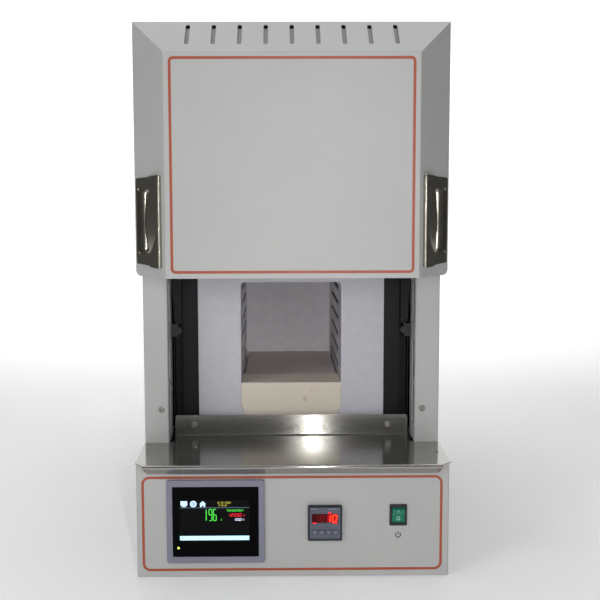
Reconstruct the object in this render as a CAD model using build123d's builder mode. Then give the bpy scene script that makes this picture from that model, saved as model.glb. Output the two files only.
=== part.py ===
from build123d import *
from math import radians, tan
import os

# Benchtop muffle furnace with a vertical-lift door, stored with the door raised.
# Millimetres, +Z up, the front faces -Y, origin at the bottom centre of the overall box.

os.makedirs("parts", exist_ok=True)

# ---- overall sizes ----
WIDTH = 438.8  # cabinet, console and door, across the front
DEPTH = 610.0  # ledge nose to the rear gland
CABINET_TOP = 519.5
CONSOLE_TOP = 167.4  # upper surface of the ledge
SHEET = 1.5  # folded steel sheet
BEND = 2.5  # outside bend radius of the sheet
FIT = 0.3  # gap between pieces that slide in or past each other
OVERCUT = 1.0  # how far a cutting shape starts outside its piece
FOOT_HEIGHT = 4.0
FOOT_RADIUS = 12.0
FOOT_INSET = 40.0
SKIRT_GAP = 1.2  # the panels' lower edges above the bench
FOOT_TAPER = 4  # degrees

# ---- depths, measured from the console's front face ----
NOSE_REACH = 24.0  # ledge nose, in front of the console
POST_SET = 102.6  # front of the posts
UPSTAND_SET = 148.8  # front of the ledge's rear upstand
MOUTH_SET = 169.4  # front of the chamber board
GLAND_REACH = 16.0  # rear gland, behind the rear panel

HALF = WIDTH / 2
Y_FRONT = NOSE_REACH - DEPTH / 2
Y_POST = Y_FRONT + POST_SET
Y_UPSTAND = Y_FRONT + UPSTAND_SET
Y_MOUTH = Y_FRONT + MOUTH_SET
Y_REAR = DEPTH / 2 - GLAND_REACH
SHELF = CONSOLE_TOP - SHEET  # underside of the ledge
INNER = HALF - SHEET  # inner face of a side panel
FLOOR = FOOT_HEIGHT + SHEET  # upper face of the base pan

# ---- posts, which are the front folds of the side panels ----
POST_WIDTH = 36.1
RETURN_DEPTH = 57.0
SLOT_WIDTH = 16.7
SLOT_SET = 12.0  # from the post's front face
SLOT_RUNS = ((192.0, 249.5), (257.4, 320.0), (345.0, 402.5), (410.4, 473.0))
FRONT_RETURN = 16.0  # side fold of the console front

# ---- ledge ----
LIP_DROP = 16.0
LIP_SLOPE = 36.0  # between the shelf and the lip that folds back under it
LIP_SHORT = 12.4  # the lip stops short of the cabinet's side
LIP_TAPER = 5.0  # and narrows to its lower edge
LIP_HALF = HALF - LIP_SHORT
LIP_LOW_HALF = LIP_HALF - LIP_TAPER
LEDGE_CORNER = 10.0  # where the side edge ends, in front of the console
UPSTAND_GAP = 4.6  # beside the posts
UPSTAND_HALF = HALF - POST_WIDTH - UPSTAND_GAP
UPSTAND_TOP = 198.8
UPSTAND_ROUND = 4.0
NOSE_BEND = 3.2

# ---- chamber ----
CHAMBER_WIDTH = 155.2
HEARTH_TOP = 245.2
MOUTH_LOW = 192.0
MOUTH_CUT = (9.0, 16.5)  # bevelled lower corners of the mouth and the plug
MOUTH_ROUND = 6.0
CHAMBER_TOP = 402.0
BOARD = 76.2  # front board
REAR_BOARD = 63.5
REAR_SPACE = 29.3  # behind the casing
CASING_GAPS = (52.4, 4.6, 14.5)  # to the cabinet's side, the ledge and the cabinet's top
CASING_HALF = HALF - CASING_GAPS[0]
CASING_LOW = CONSOLE_TOP + CASING_GAPS[1]
CASING_TOP = CABINET_TOP - CASING_GAPS[2]
FLANGE = 23.5  # front flanges of the casing, beside the visible board
FLANGE_TALL = 6.0  # above and below it
PLATE = 12.0  # hearth plate
PLATE_GAP = 4.0
PLATE_ROUND = 3.0
GROOVE_PITCH = 25.4
GROOVE_COUNT = 6
GROOVE_MOUTH = 10.0
GROOVE_INNER = 6.2  # height at its bottom
GROOVE_DEPTH = 6.0
GROOVE_FIRST = 252.0
COIL_RADIUS = 2.2
COIL_GAPS = (0.4, 0.2, 1.5)  # beside it, below it, before and behind its turns
COIL_TURN = 6.0
RELIEF = 12.0  # depth of the pocket where it turns
PROBE_DOWN = 14.0  # thermocouple, under the chamber's roof
PROBE_Z = CHAMBER_TOP - PROBE_DOWN
PROBE_REACH = 28.0  # into the chamber
PROBE_RADIUS = 3.2
PROBE_HEAD = (13.0, 16.0)  # radius and length of its connection head

FACE_HALF = CASING_HALF - FLANGE
Y_CHAMBER = Y_MOUTH + BOARD
Y_CASING = Y_REAR - SHEET - REAR_SPACE
Y_BACK = Y_CASING - SHEET - REAR_BOARD
CORE_HALF = CASING_HALF - SHEET  # the boards fill the casing
CORE_LOW = CASING_LOW + SHEET
CORE_TOP = CASING_TOP - SHEET
CHAMBER_HALF = CHAMBER_WIDTH / 2

# ---- door, in its raised place ----
DOOR_TRAVEL = 254.0
SHUT_GAPS = (2.8, 0.1)  # with the door down: under it, and of its top above the cabinet
DOOR_LOW = CONSOLE_TOP + DOOR_TRAVEL + SHUT_GAPS[0]
DOOR_TOP = CABINET_TOP + DOOR_TRAVEL + SHUT_GAPS[1]
BEVEL_TALL = 48.0
BEVEL_WIDE = 47.7
DOOR_FACE_TOP = DOOR_TOP - BEVEL_TALL
DOOR_FACE_HALF = HALF - BEVEL_WIDE
DOOR_REACH = 15.7  # door face, in front of the console
BEVEL_DEPTH = 56.0
DOOR_CLEAR = 2.1  # door shell to the posts
DOOR_LOW_ROUND = 7.5
VENT_COUNT = 9
VENT_PITCH = 35.4
VENT_LENGTH = 48.0
VENT_WIDTH = 5.9
VENT_RAISE = 5.5  # the slots' middle above the bevel's middle
BAFFLE_GAP = 4.6  # below the bevel, straight down
BAFFLE_SHEET = 1.2
BAFFLE_FLANGE = 16.0
BAFFLE_TRIM = 6.0  # short of the bevel's upper bend
BLOCK_SIDE = 7.0  # insulation block, inside the casing's width
BLOCK_HALF = CASING_HALF - BLOCK_SIDE
BLOCK_INSETS = (34.8, 36.0)  # from the door's lower and upper ends
BLOCK_LOW = DOOR_LOW + BLOCK_INSETS[0]
BLOCK_TOP = DOOR_TOP - BLOCK_INSETS[1]
BLOCK_FRONT = 20.0  # from the console front
SEAL_GAP = 2.4  # insulation block to the chamber board
BLOCK_BEVEL = 6.0
CHASSIS_DOWN = 1.0  # upper shelf of the chassis, under the shell
SLEEVE_BACK = 150.0  # rear edge of the sleeve, from the console front

Y_FACE = Y_FRONT - DOOR_REACH
Y_BEVEL = Y_FACE + BEVEL_DEPTH
Y_DOOR_BACK = Y_POST - DOOR_CLEAR

# ---- lift gear ----
ARM_DROP = 84.2  # the arms reach this far below the door
ARM_LOW = DOOR_LOW - ARM_DROP
ARM_HALF = HALF - POST_WIDTH - 3 * FIT  # outer edge of an arm
ARM_IN = CASING_HALF + 2 * FIT
ARM_SET = 153.0  # arm bar, from the console front
ARM_THICK = 13.0
ARM_SHORT = 5.0
ARM_TOP = BLOCK_TOP - ARM_SHORT
ARM_TAPER = (6.4, 3.6)  # how far the arm's foot narrows, at its end and above it
TAPER_RUN = (70.0, 24.0)  # heights over which it narrows
CHEEK = 3.0
CHEEK_UP = 45.8
CHEEK_LOW = DOOR_LOW + CHEEK_UP
SHOE_HEIGHT = 20.0
PIVOT_IN = 9.8  # from the arm's outer edge
PIVOT_X = ARM_HALF - PIVOT_IN
PIVOT_RADIUS = 5.5
PIVOT_PROUD = 2.5  # in front of the arm
CHANNEL_SET = 172.0
CHANNEL_DEPTH = 20.0
CHANNEL_WIDTH = 15.0
CHANNEL_DOWN = 3.5
CHANNEL_TOP = CABINET_TOP - CHANNEL_DOWN
SLIDER_UP = 5.0
SLIDER_LOW = ARM_LOW + SLIDER_UP
SLIDER_TALL = 80.0
SLIDER_ROUND = 3.0
STRUT_IN = 21.4  # from the cabinet's side
STRUT_X = HALF - STRUT_IN
STRUT_SET = 182.0
STRUT_RADIUS = 9.0
STRUT_ROUND = 2.0
STRUT_SHORT = 15.0  # below the arm's foot
STRUT_TOP = ARM_LOW - STRUT_SHORT
ROD_RADIUS = 4.0
ROD_HELD = 45.0  # rod left in the cylinder with the door up
ROD_SPARE = 15.0  # rod left outside it with the door down
ROD_LOW = STRUT_TOP - ROD_HELD
LUG_LOW = STRUT_TOP + DOOR_TRAVEL + ROD_SPARE
LUG_THICK = 6.0

# ---- handles on the door's side bevels; distances along the bevel start at the face ----
PULL_UP = 76.5
PULL_Z = DOOR_LOW + PULL_UP
PULL_EDGES = (8.0, 68.5)  # plate
PULL_TALLS = (124.6, 118.0)  # its height at the face side and at the outer side
PULL_PLATE = 1.6
PULL_ROUND = 2.5
DISH_EDGES = (16.0, 65.0)  # hollow behind the plate
DISH_TALL = 90.0
DISH_DEPTH = 19.0
DISH_WALL = 1.2
DISH_ROUNDS = (8.0, 18.0, 6.0)  # under the grip, at the outer side, at the ends
GRIP_EDGES = (8.0, 30.0)  # hood over the face side of the hollow
GRIP_TALLS = (126.4, 123.6)
GRIP_RISE = 5.5
GRIP_ROUND = 3.0
GRIP_SHEET = 1.4
DOME_RADIUS = 240.0
DOME_REACH = 61.2  # radius of the circle where the dome leaves the hood
DOME_SET = 43.8  # its centre, beyond the hood's free edge

# ---- console instruments: centres on the panel and sizes ----
SCREEN_IN = 110.9  # from the left-hand side
SCREEN_X, SCREEN_Z = SCREEN_IN - HALF, 81.2
SCREEN_WIDE, SCREEN_TALL = 137.3, 119.8
GLASS_WIDE, GLASS_TALL = 120.9, 100.8
SCREEN_PROUD = 4.0
SCREEN_CORNER, SCREEN_EDGE = 4.0, 1.6  # bezel outline, bezel front edge
GLASS_CORNER = 1.5
GLASS_DOWN = 0.8
GLASS_THICK = 1.5
SCREEN_BODY_DEPTH = 36.0
BODY_MARGIN = 1.5
BODY_ROUND = 1.2
HOLE_CORNER = 2.0
SCREEN_BODY_EDGE = 3.0
CONTROL_IN = 174.65  # from the right-hand side
CONTROL_X, CONTROL_Z = HALF - CONTROL_IN, 78.8
CONTROL_WIDE, CONTROL_TALL = 48.0, 50.0
CONTROL_PROUD = 7.0
CONTROL_CORNER, CONTROL_CHAMFER = 2.0, 1.0
CONTROL_BODY = 44.6
CONTROL_DEPTH = 64.0
LENS_WIDE, LENS_TALL, LENS_UP = 39.0, 19.0, 9.5
LENS_THICK = 1.6
LENS_CORNER = 1.0
LENS_GAP = 0.1  # around it
LENS_DOWN = 0.4
KEY_WIDE, KEY_TALL = 7.0, 5.6
KEY_PITCH = 9.6
KEY_DOWN = 12.0
KEY_PROUD = 1.2
KEY_LONG = 5.0
KEY_TRAVEL = 0.8
KEY_CORNER, KEY_EDGE = 0.7, 0.5
SWITCH_IN = 71.55  # from the right-hand side
SWITCH_X, SWITCH_Z = HALF - SWITCH_IN, 88.95
SWITCH_WIDE, SWITCH_TALL = 24.5, 30.5
SWITCH_PROUD = 2.5
SWITCH_BODY = (21.4, 27.0, 24.0)
SWITCH_CORNER, SWITCH_EDGE = 1.5, 1.0
WELL_CORNER, WELL_CLEAR = 0.6, 1.0
ROCKER_WIDE, ROCKER_TALL = 17.3, 21.8
ROCKER_PIVOT = 1.0  # pivot axis behind the panel face
ROCKER_DIP = 2.0  # middle of the rocker in front of the panel face
ROCKER_RISE = 3.5  # its ends stand out this much further
ROCKER_TILT = 6.0
GLAND_IN = 69.4  # from the right-hand side
GLAND_X, GLAND_Z = HALF - GLAND_IN, 60.0
GLAND_THREAD = 8.0
GLAND_NUT = 11.0
GLAND_CLEAR = 0.2  # its hole around the thread
GLAND_DOME = 9.6
GLAND_TIP = 6.4
GLAND_INSIDE = 12.0  # length inside the panel
GLAND_LOCK = 4.5  # lock nut
GLAND_COLLAR = 7.0
CORD_BORE = 4.0

# ---- rear panel's vent slots ----
REAR_SLOT = (55.0, 5.0)
REAR_PITCH = (WIDTH / 6.27, 12.0)
REAR_FIELDS = (CABINET_TOP - 75.0, CONSOLE_TOP - 45.0)

# ---- openings around the lift gear ----
DECK_GAP = 3.0  # deck plate behind the guide channels
NOTCH_GAPS = (2.0, 5.0)  # top cover beside and behind the strut lugs


def front_plane(y):
    """Plane facing the user at depth y; its local axes are X and Z."""
    return Plane.XZ.offset(-y)


def side_plane(x):
    """Plane facing +X at x; its local axes are Y and Z."""
    return Plane.YZ.offset(x)


def panel_block(x_low, x_high, y_low, y_high, z_low, z_high):
    """Sketch a rectangle in plan and raise it: used for boards and bars."""
    with BuildSketch(Plane.XY.offset(z_low)) as outline:
        with Locations(((x_low + x_high) / 2, (y_low + y_high) / 2)):
            Rectangle(x_high - x_low, y_high - y_low)
    extrude(outline.sketch, amount=z_high - z_low)


def bevel_plane(side, lift=0.0):
    """Plane on a side bevel of the door, from the face's edge outwards; side is 1 on the right."""
    plane = Plane(
        origin=(side * DOOR_FACE_HALF, Y_FACE, PULL_Z),
        x_dir=(side * BEVEL_WIDE, BEVEL_DEPTH, 0),
        z_dir=(side * BEVEL_DEPTH, -BEVEL_WIDE, 0),
    )
    return plane.offset(lift)


def window(plane, x, z, wide, tall, radius, depth):
    """Cut a rounded window of this depth behind a front plane."""
    with BuildSketch(plane) as outline:
        with Locations((x, z)):
            RectangleRounded(wide, tall, radius)
    extrude(outline.sketch, amount=-depth, mode=Mode.SUBTRACT)


def mouth_outline(half, top):
    """Draw the chamber mouth's outline up to this height: bevelled and softened at its lower corners."""
    across, up = MOUTH_CUT
    with BuildLine() as outline:
        FilletPolyline(
            (-half, top),
            (-half, MOUTH_LOW + up),
            (across - half, MOUTH_LOW),
            (half - across, MOUTH_LOW),
            (half, MOUTH_LOW + up),
            (half, top),
            radius=MOUTH_ROUND,
        )
        Line((half, top), (-half, top))
    make_face(outline.edges())


def save(piece, name):
    piece.part.label = name
    export_step(piece.part, f"parts/{name}.step")


def save_pair(piece, name):
    """Write the right-hand piece and its mirror image on the left."""
    save(piece, f"{name}_right")
    with BuildPart() as twin:
        mirror(piece.part, about=Plane.YZ)
    save(twin, f"{name}_left")


# ================= cabinet =================

# Side panel: one folded sheet, low beside the console, tall behind the post.
with BuildPart() as side_panel:
    with BuildSketch(side_plane(INNER)):
        with BuildLine():
            Polyline(
                (Y_FRONT + FRONT_RETURN, SKIRT_GAP),
                (Y_FRONT + FRONT_RETURN, SHELF),
                (Y_POST + BEND, SHELF),
                (Y_POST + BEND, CABINET_TOP),
                (Y_REAR, CABINET_TOP),
                (Y_REAR, SKIRT_GAP),
                close=True,
            )
        make_face()
    extrude(amount=SHEET)
    with BuildSketch(Plane.XY.offset(CONSOLE_TOP)):
        with BuildLine():
            FilletPolyline(
                (HALF, Y_POST + 3 * BEND),
                (HALF, Y_POST),
                (HALF - POST_WIDTH, Y_POST),
                (HALF - POST_WIDTH, Y_POST + RETURN_DEPTH),
                radius=BEND,
            )
            offset(amount=SHEET, side=Side.RIGHT)
        make_face()
    extrude(amount=CABINET_TOP - CONSOLE_TOP)
    with BuildSketch(side_plane(HALF - POST_WIDTH - SHEET)):
        for low, high in SLOT_RUNS:
            with Locations((Y_POST + SLOT_SET + SLOT_WIDTH / 2, (low + high) / 2)):
                RectangleRounded(SLOT_WIDTH, high - low, BEND)
    extrude(amount=3 * SHEET, mode=Mode.SUBTRACT)
save_pair(side_panel, "side_panel")

# Base pan with upturned sides against the side panels.
with BuildPart() as base_pan:
    with BuildSketch(front_plane(Y_FRONT + SHEET)):
        with BuildLine():
            FilletPolyline(
                (-INNER, FLOOR + FRONT_RETURN),
                (-INNER, FOOT_HEIGHT),
                (INNER, FOOT_HEIGHT),
                (INNER, FLOOR + FRONT_RETURN),
                radius=BEND,
            )
            offset(amount=SHEET, side=Side.LEFT)
        make_face()
    extrude(amount=-(Y_REAR - Y_FRONT - 2 * SHEET))
    # the console front's side folds stand where the pan's front corners would be
    for side in (-1, 1):
        with BuildSketch(Plane.XY.offset(FOOT_HEIGHT)):
            with Locations((side * INNER, Y_FRONT + FRONT_RETURN / 2)):
                Rectangle(4 * SHEET, FRONT_RETURN)
        extrude(amount=FRONT_RETURN + 2 * SHEET, mode=Mode.SUBTRACT)
save(base_pan, "base_pan")

foot_spots = [
    (x, y)
    for y in (Y_FRONT + FOOT_INSET, Y_REAR - FOOT_INSET)
    for x in (FOOT_INSET - HALF, HALF - FOOT_INSET)
]
for number, spot in enumerate(foot_spots, start=1):
    with BuildPart() as foot:
        with BuildSketch():
            with Locations(spot):
                Circle(FOOT_RADIUS)
        extrude(amount=FOOT_HEIGHT, taper=FOOT_TAPER)
    save(foot, f"foot_{number}")

# Deck that carries the chamber casing, folded down at both sides.
DECK_FRONT = Y_FRONT + CHANNEL_SET + CHANNEL_DEPTH + DECK_GAP
with BuildPart() as deck_plate:
    with BuildSketch(front_plane(DECK_FRONT)):
        with BuildLine():
            FilletPolyline(
                (-INNER, CASING_LOW - FRONT_RETURN),
                (-INNER, CASING_LOW),
                (INNER, CASING_LOW),
                (INNER, CASING_LOW - FRONT_RETURN),
                radius=BEND,
            )
            offset(amount=SHEET, side=Side.RIGHT)
        make_face()
    extrude(amount=-(Y_REAR - SHEET - DECK_FRONT))
save(deck_plate, "deck_plate")

# Rear panel with two fields of vent slots and the gland's hole.
with BuildPart() as rear_panel:
    with BuildSketch(front_plane(Y_REAR)):
        with Locations((0, (SKIRT_GAP + CABINET_TOP) / 2)):
            Rectangle(2 * INNER, CABINET_TOP - SKIRT_GAP)
        with Locations(*[(0, z) for z in REAR_FIELDS]):
            with GridLocations(*REAR_PITCH, 4, 5):
                SlotOverall(*REAR_SLOT, mode=Mode.SUBTRACT)
        with Locations((GLAND_X, GLAND_Z)):
            Circle(GLAND_THREAD + GLAND_CLEAR, mode=Mode.SUBTRACT)
    extrude(amount=SHEET)
save(rear_panel, "rear_panel")

# Top cover, notched where the arms and strut lugs pass.
NOTCH_BACK = Y_FRONT + STRUT_SET + STRUT_RADIUS + NOTCH_GAPS[1]
with BuildPart() as top_cover:
    with BuildSketch(Plane.XY.offset(CABINET_TOP - SHEET)):
        with Locations((0, (Y_POST + BEND + Y_REAR - SHEET) / 2)):
            Rectangle(2 * INNER, Y_REAR - SHEET - Y_POST - BEND)
        with Locations((0, (Y_POST + NOTCH_BACK) / 2)):
            Rectangle(2 * (HALF - POST_WIDTH + SHEET), NOTCH_BACK - Y_POST, mode=Mode.SUBTRACT)
        lug_front = Y_POST + RETURN_DEPTH
        with Locations((0, (lug_front + NOTCH_BACK) / 2)):
            lug_half = STRUT_X + STRUT_RADIUS + NOTCH_GAPS[0]
            Rectangle(2 * lug_half, NOTCH_BACK - lug_front, mode=Mode.SUBTRACT)
    extrude(amount=SHEET)
save(top_cover, "top_cover")

# Cable gland: threaded body, lock nut inside, ribbed dome nut outside, open bore.
with BuildPart() as cable_gland:
    with BuildSketch(side_plane(GLAND_X)):
        with BuildLine():
            Polyline(
                (Y_REAR - GLAND_INSIDE, GLAND_Z + CORD_BORE),
                (Y_REAR - GLAND_INSIDE, GLAND_Z + GLAND_THREAD),
                (Y_REAR - SHEET - GLAND_LOCK, GLAND_Z + GLAND_THREAD),
                (Y_REAR - SHEET - GLAND_LOCK, GLAND_Z + GLAND_NUT),
                (Y_REAR - SHEET, GLAND_Z + GLAND_NUT),
                (Y_REAR - SHEET, GLAND_Z + GLAND_THREAD),
                (Y_REAR, GLAND_Z + GLAND_THREAD),
                (Y_REAR, GLAND_Z + GLAND_NUT),
                (Y_REAR + GLAND_COLLAR, GLAND_Z + GLAND_NUT),
                (Y_REAR + GLAND_COLLAR, GLAND_Z + GLAND_DOME),
                (Y_REAR + GLAND_COLLAR + GLAND_LOCK, GLAND_Z + GLAND_DOME),
                (Y_REAR + GLAND_REACH, GLAND_Z + GLAND_TIP),
                (Y_REAR + GLAND_REACH, GLAND_Z + CORD_BORE),
                close=True,
            )
        make_face()
    revolve(axis=Axis((GLAND_X, Y_REAR, GLAND_Z), (0, 1, 0)))
save(cable_gland, "cable_gland")

# ================= console =================

# Front panel, folded back at both sides, with the instruments' openings.
with BuildPart() as console_front:
    with BuildSketch(Plane.XY.offset(SKIRT_GAP)):
        with BuildLine():
            FilletPolyline(
                (-HALF, Y_FRONT + FRONT_RETURN - FIT),
                (-HALF, Y_FRONT),
                (HALF, Y_FRONT),
                (HALF, Y_FRONT + FRONT_RETURN - FIT),
                radius=BEND,
            )
            offset(amount=SHEET, side=Side.LEFT)
        make_face()
    extrude(amount=SHELF - SKIRT_GAP)
    face = front_plane(Y_FRONT)
    screen_hole = (GLASS_WIDE - BODY_MARGIN, GLASS_TALL - BODY_MARGIN)
    window(face, SCREEN_X, SCREEN_Z, *screen_hole, HOLE_CORNER, SHEET)
    control_hole = CONTROL_BODY + FIT
    window(face, CONTROL_X, CONTROL_Z, control_hole, control_hole, BODY_ROUND, SHEET)
    window(face, SWITCH_X, SWITCH_Z, SWITCH_BODY[0] + FIT, SWITCH_BODY[1] + FIT, BODY_ROUND, SHEET)
save(console_front, "console_front")

# Ledge: upstand, shelf, rounded nose and a lip that slopes back, its ends tapered.
Y_NOSE = Y_FRONT - NOSE_REACH
nose_corner = Y_NOSE + NOSE_BEND - NOSE_BEND / tan(radians(LIP_SLOPE / 2))
lip_end = nose_corner + LIP_DROP / tan(radians(LIP_SLOPE))
with BuildPart() as ledge:
    with BuildSketch(side_plane(0)):
        with BuildLine():
            FilletPolyline(
                (Y_UPSTAND, UPSTAND_TOP),
                (Y_UPSTAND, CONSOLE_TOP),
                (nose_corner, CONSOLE_TOP),
                (lip_end, CONSOLE_TOP - LIP_DROP),
                radius=[BEND, NOSE_BEND],
            )
            offset(amount=SHEET, side=Side.LEFT)
        make_face()
    extrude(amount=HALF, both=True)
    with BuildSketch(Plane.XY.offset(UPSTAND_TOP + SHEET)) as ledge_trim:
        with BuildLine():
            Polyline(
                (LIP_HALF, Y_FRONT - 2 * NOSE_REACH),
                (LIP_HALF, Y_NOSE + NOSE_BEND),
                (HALF, Y_FRONT - LEDGE_CORNER),
                (2 * HALF, Y_FRONT - LEDGE_CORNER),
                (2 * HALF, Y_FRONT - 2 * NOSE_REACH),
                close=True,
            )
        make_face()
        with BuildLine():
            Polyline(
                (INNER - FIT, Y_POST),
                (INNER - FIT, Y_MOUTH),
                (2 * HALF, Y_MOUTH),
                (2 * HALF, Y_POST),
                close=True,
            )
        make_face()
        with BuildLine():
            Polyline(
                (UPSTAND_HALF, Y_POST + 2 * BEND),
                (UPSTAND_HALF, Y_MOUTH),
                (INNER, Y_MOUTH),
                (INNER, Y_POST + 2 * BEND),
                close=True,
            )
        make_face()
        mirror(about=Plane.YZ)
    extrude(amount=-UPSTAND_TOP, mode=Mode.SUBTRACT)
    for side in (-1, 1):
        with BuildSketch(front_plane(Y_FRONT)):
            with BuildLine():
                Polyline(
                    (side * LIP_HALF, SHELF - NOSE_BEND),
                    (side * LIP_LOW_HALF, CONSOLE_TOP - LIP_DROP - SHEET),
                    (side * HALF, CONSOLE_TOP - LIP_DROP - SHEET),
                    (side * HALF, SHELF - NOSE_BEND),
                    close=True,
                )
            make_face()
        extrude(amount=2 * NOSE_REACH, mode=Mode.SUBTRACT)
    top_corners = ledge.edges().filter_by(Axis.Y).group_by(Axis.Z)[-1]
    fillet(top_corners, radius=UPSTAND_ROUND)
save(ledge, "ledge")

# Touch screen: rounded bezel, glass let into it, and the body behind the panel.
with BuildPart() as screen_bezel:
    with BuildSketch(front_plane(Y_FRONT)):
        with Locations((SCREEN_X, SCREEN_Z)):
            RectangleRounded(SCREEN_WIDE, SCREEN_TALL, SCREEN_CORNER)
    extrude(amount=SCREEN_PROUD)
    fillet(screen_bezel.faces().sort_by(Axis.Y)[0].edges(), radius=SCREEN_EDGE)
    bezel_face = front_plane(Y_FRONT - SCREEN_PROUD)
    glass_seat = GLASS_DOWN + GLASS_THICK
    window(bezel_face, SCREEN_X, SCREEN_Z, GLASS_WIDE, GLASS_TALL, GLASS_CORNER, glass_seat)
    window(bezel_face, SCREEN_X, SCREEN_Z, *screen_hole, HOLE_CORNER, SCREEN_PROUD)
save(screen_bezel, "screen_bezel")

GLASS_BACK = Y_FRONT - SCREEN_PROUD + glass_seat
with BuildPart() as screen_glass:
    with BuildSketch(front_plane(GLASS_BACK)):
        with Locations((SCREEN_X, SCREEN_Z)):
            RectangleRounded(GLASS_WIDE - FIT, GLASS_TALL - FIT, GLASS_CORNER)
    extrude(amount=GLASS_THICK)
save(screen_glass, "screen_glass")

with BuildPart() as screen_body:
    with BuildSketch(front_plane(GLASS_BACK)):
        with Locations((SCREEN_X, SCREEN_Z)):
            RectangleRounded(screen_hole[0] - FIT, screen_hole[1] - FIT, HOLE_CORNER)
    extrude(amount=-SCREEN_BODY_DEPTH)
    fillet(screen_body.faces().sort_by(Axis.Y)[-1].edges(), radius=SCREEN_BODY_EDGE)
save(screen_body, "screen_body")

# Controller: bezel and case in one moulding, with a lens and four keys let in.
key_spots = [(CONTROL_X + (n - 1.5) * KEY_PITCH, CONTROL_Z - KEY_DOWN) for n in range(4)]
Y_CONTROL = Y_FRONT - CONTROL_PROUD
with BuildPart() as controller_case:
    with BuildSketch(front_plane(Y_FRONT)):
        with Locations((CONTROL_X, CONTROL_Z)):
            RectangleRounded(CONTROL_WIDE, CONTROL_TALL, CONTROL_CORNER)
    extrude(amount=CONTROL_PROUD)
    chamfer(controller_case.faces().sort_by(Axis.Y)[0].edges(), length=CONTROL_CHAMFER)
    with BuildSketch(front_plane(Y_FRONT)):
        with Locations((CONTROL_X, CONTROL_Z)):
            RectangleRounded(CONTROL_BODY, CONTROL_BODY, BODY_ROUND)
    extrude(amount=-CONTROL_DEPTH)
    control_face = front_plane(Y_CONTROL)
    window(
        control_face, CONTROL_X, CONTROL_Z + LENS_UP,
        LENS_WIDE, LENS_TALL, LENS_CORNER, LENS_THICK + LENS_DOWN,
    )
    key_hole = (KEY_WIDE + 2 * FIT, KEY_TALL + 2 * FIT)
    key_depth = KEY_LONG - KEY_PROUD + KEY_TRAVEL + FIT
    for key_x, key_z in key_spots:
        window(control_face, key_x, key_z, *key_hole, KEY_CORNER, key_depth)
save(controller_case, "controller_case")

with BuildPart() as controller_lens:
    with BuildSketch(front_plane(Y_CONTROL + LENS_THICK + LENS_DOWN)):
        with Locations((CONTROL_X, CONTROL_Z + LENS_UP)):
            RectangleRounded(LENS_WIDE - 2 * LENS_GAP, LENS_TALL - 2 * LENS_GAP, LENS_CORNER)
    extrude(amount=LENS_THICK)
save(controller_lens, "controller_lens")

for number, spot in enumerate(key_spots, start=1):
    with BuildPart() as key:
        with BuildSketch(front_plane(Y_CONTROL + KEY_LONG - KEY_PROUD)):
            with Locations(spot):
                RectangleRounded(KEY_WIDE, KEY_TALL, KEY_CORNER)
        extrude(amount=KEY_LONG)
        fillet(key.faces().sort_by(Axis.Y)[0].edges(), radius=KEY_EDGE)
    save(key, f"controller_key_{number}")

# Rocker switch: bezel and body with an open well, and the rocker on its cross axis.
Y_PIVOT = Y_FRONT + ROCKER_PIVOT
with BuildPart() as switch_body:
    with BuildSketch(front_plane(Y_FRONT)):
        with Locations((SWITCH_X, SWITCH_Z)):
            RectangleRounded(SWITCH_WIDE, SWITCH_TALL, SWITCH_CORNER)
    extrude(amount=SWITCH_PROUD)
    fillet(switch_body.faces().sort_by(Axis.Y)[0].edges(), radius=SWITCH_EDGE)
    with BuildSketch(front_plane(Y_FRONT)):
        with Locations((SWITCH_X, SWITCH_Z)):
            RectangleRounded(SWITCH_BODY[0], SWITCH_BODY[1], BODY_ROUND)
    extrude(amount=-SWITCH_BODY[2])
    well_depth = SWITCH_PROUD + ROCKER_PIVOT + ROCKER_TALL / 2 + WELL_CLEAR
    window(
        front_plane(Y_FRONT - SWITCH_PROUD), SWITCH_X, SWITCH_Z,
        ROCKER_WIDE + 2 * FIT, ROCKER_TALL + 2 * FIT, WELL_CORNER, well_depth,
    )
save(switch_body, "switch_body")

with BuildPart() as rocker:
    with BuildSketch(side_plane(SWITCH_X)):
        with Locations((Y_PIVOT, SWITCH_Z)):
            Circle(ROCKER_TALL / 2)
        with BuildLine():
            Polyline(
                (Y_FRONT - ROCKER_DIP, SWITCH_Z),
                (Y_FRONT - ROCKER_DIP - ROCKER_RISE, SWITCH_Z + ROCKER_TALL / 2),
                (Y_FRONT - ROCKER_TALL, SWITCH_Z + ROCKER_TALL / 2),
                (Y_FRONT - ROCKER_TALL, SWITCH_Z - ROCKER_TALL / 2),
                (Y_FRONT - ROCKER_DIP - ROCKER_RISE, SWITCH_Z - ROCKER_TALL / 2),
                close=True,
            )
        make_face(mode=Mode.SUBTRACT)
    extrude(amount=ROCKER_WIDE / 2, both=True)
with BuildPart() as rocker_set:
    pivot = Axis((SWITCH_X, Y_PIVOT, SWITCH_Z), (1, 0, 0))
    add(rocker.part.rotate(pivot, ROCKER_TILT))
save(rocker_set, "rocker")

# ================= chamber =================

# Black casing: open-fronted box with front flanges that hold the front board.
with BuildPart() as casing:
    panel_block(-CASING_HALF, CASING_HALF, Y_MOUTH, Y_CASING, CASING_LOW, CASING_TOP)
    offset(amount=-SHEET, openings=casing.faces().sort_by(Axis.Y)[0])
    with BuildSketch(front_plane(Y_MOUTH)):
        with Locations((0, (CASING_LOW + CASING_TOP) / 2)):
            Rectangle(2 * CASING_HALF, CASING_TOP - CASING_LOW)
            Rectangle(2 * FACE_HALF, CASING_TOP - CASING_LOW - 2 * FLANGE_TALL, mode=Mode.SUBTRACT)
    extrude(amount=-SHEET)
    with BuildSketch(front_plane(Y_CASING)):
        with Locations((0, PROBE_Z)):
            Circle(PROBE_RADIUS + FIT)
    extrude(amount=2 * SHEET, mode=Mode.SUBTRACT)
save(casing, "casing")

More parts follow.
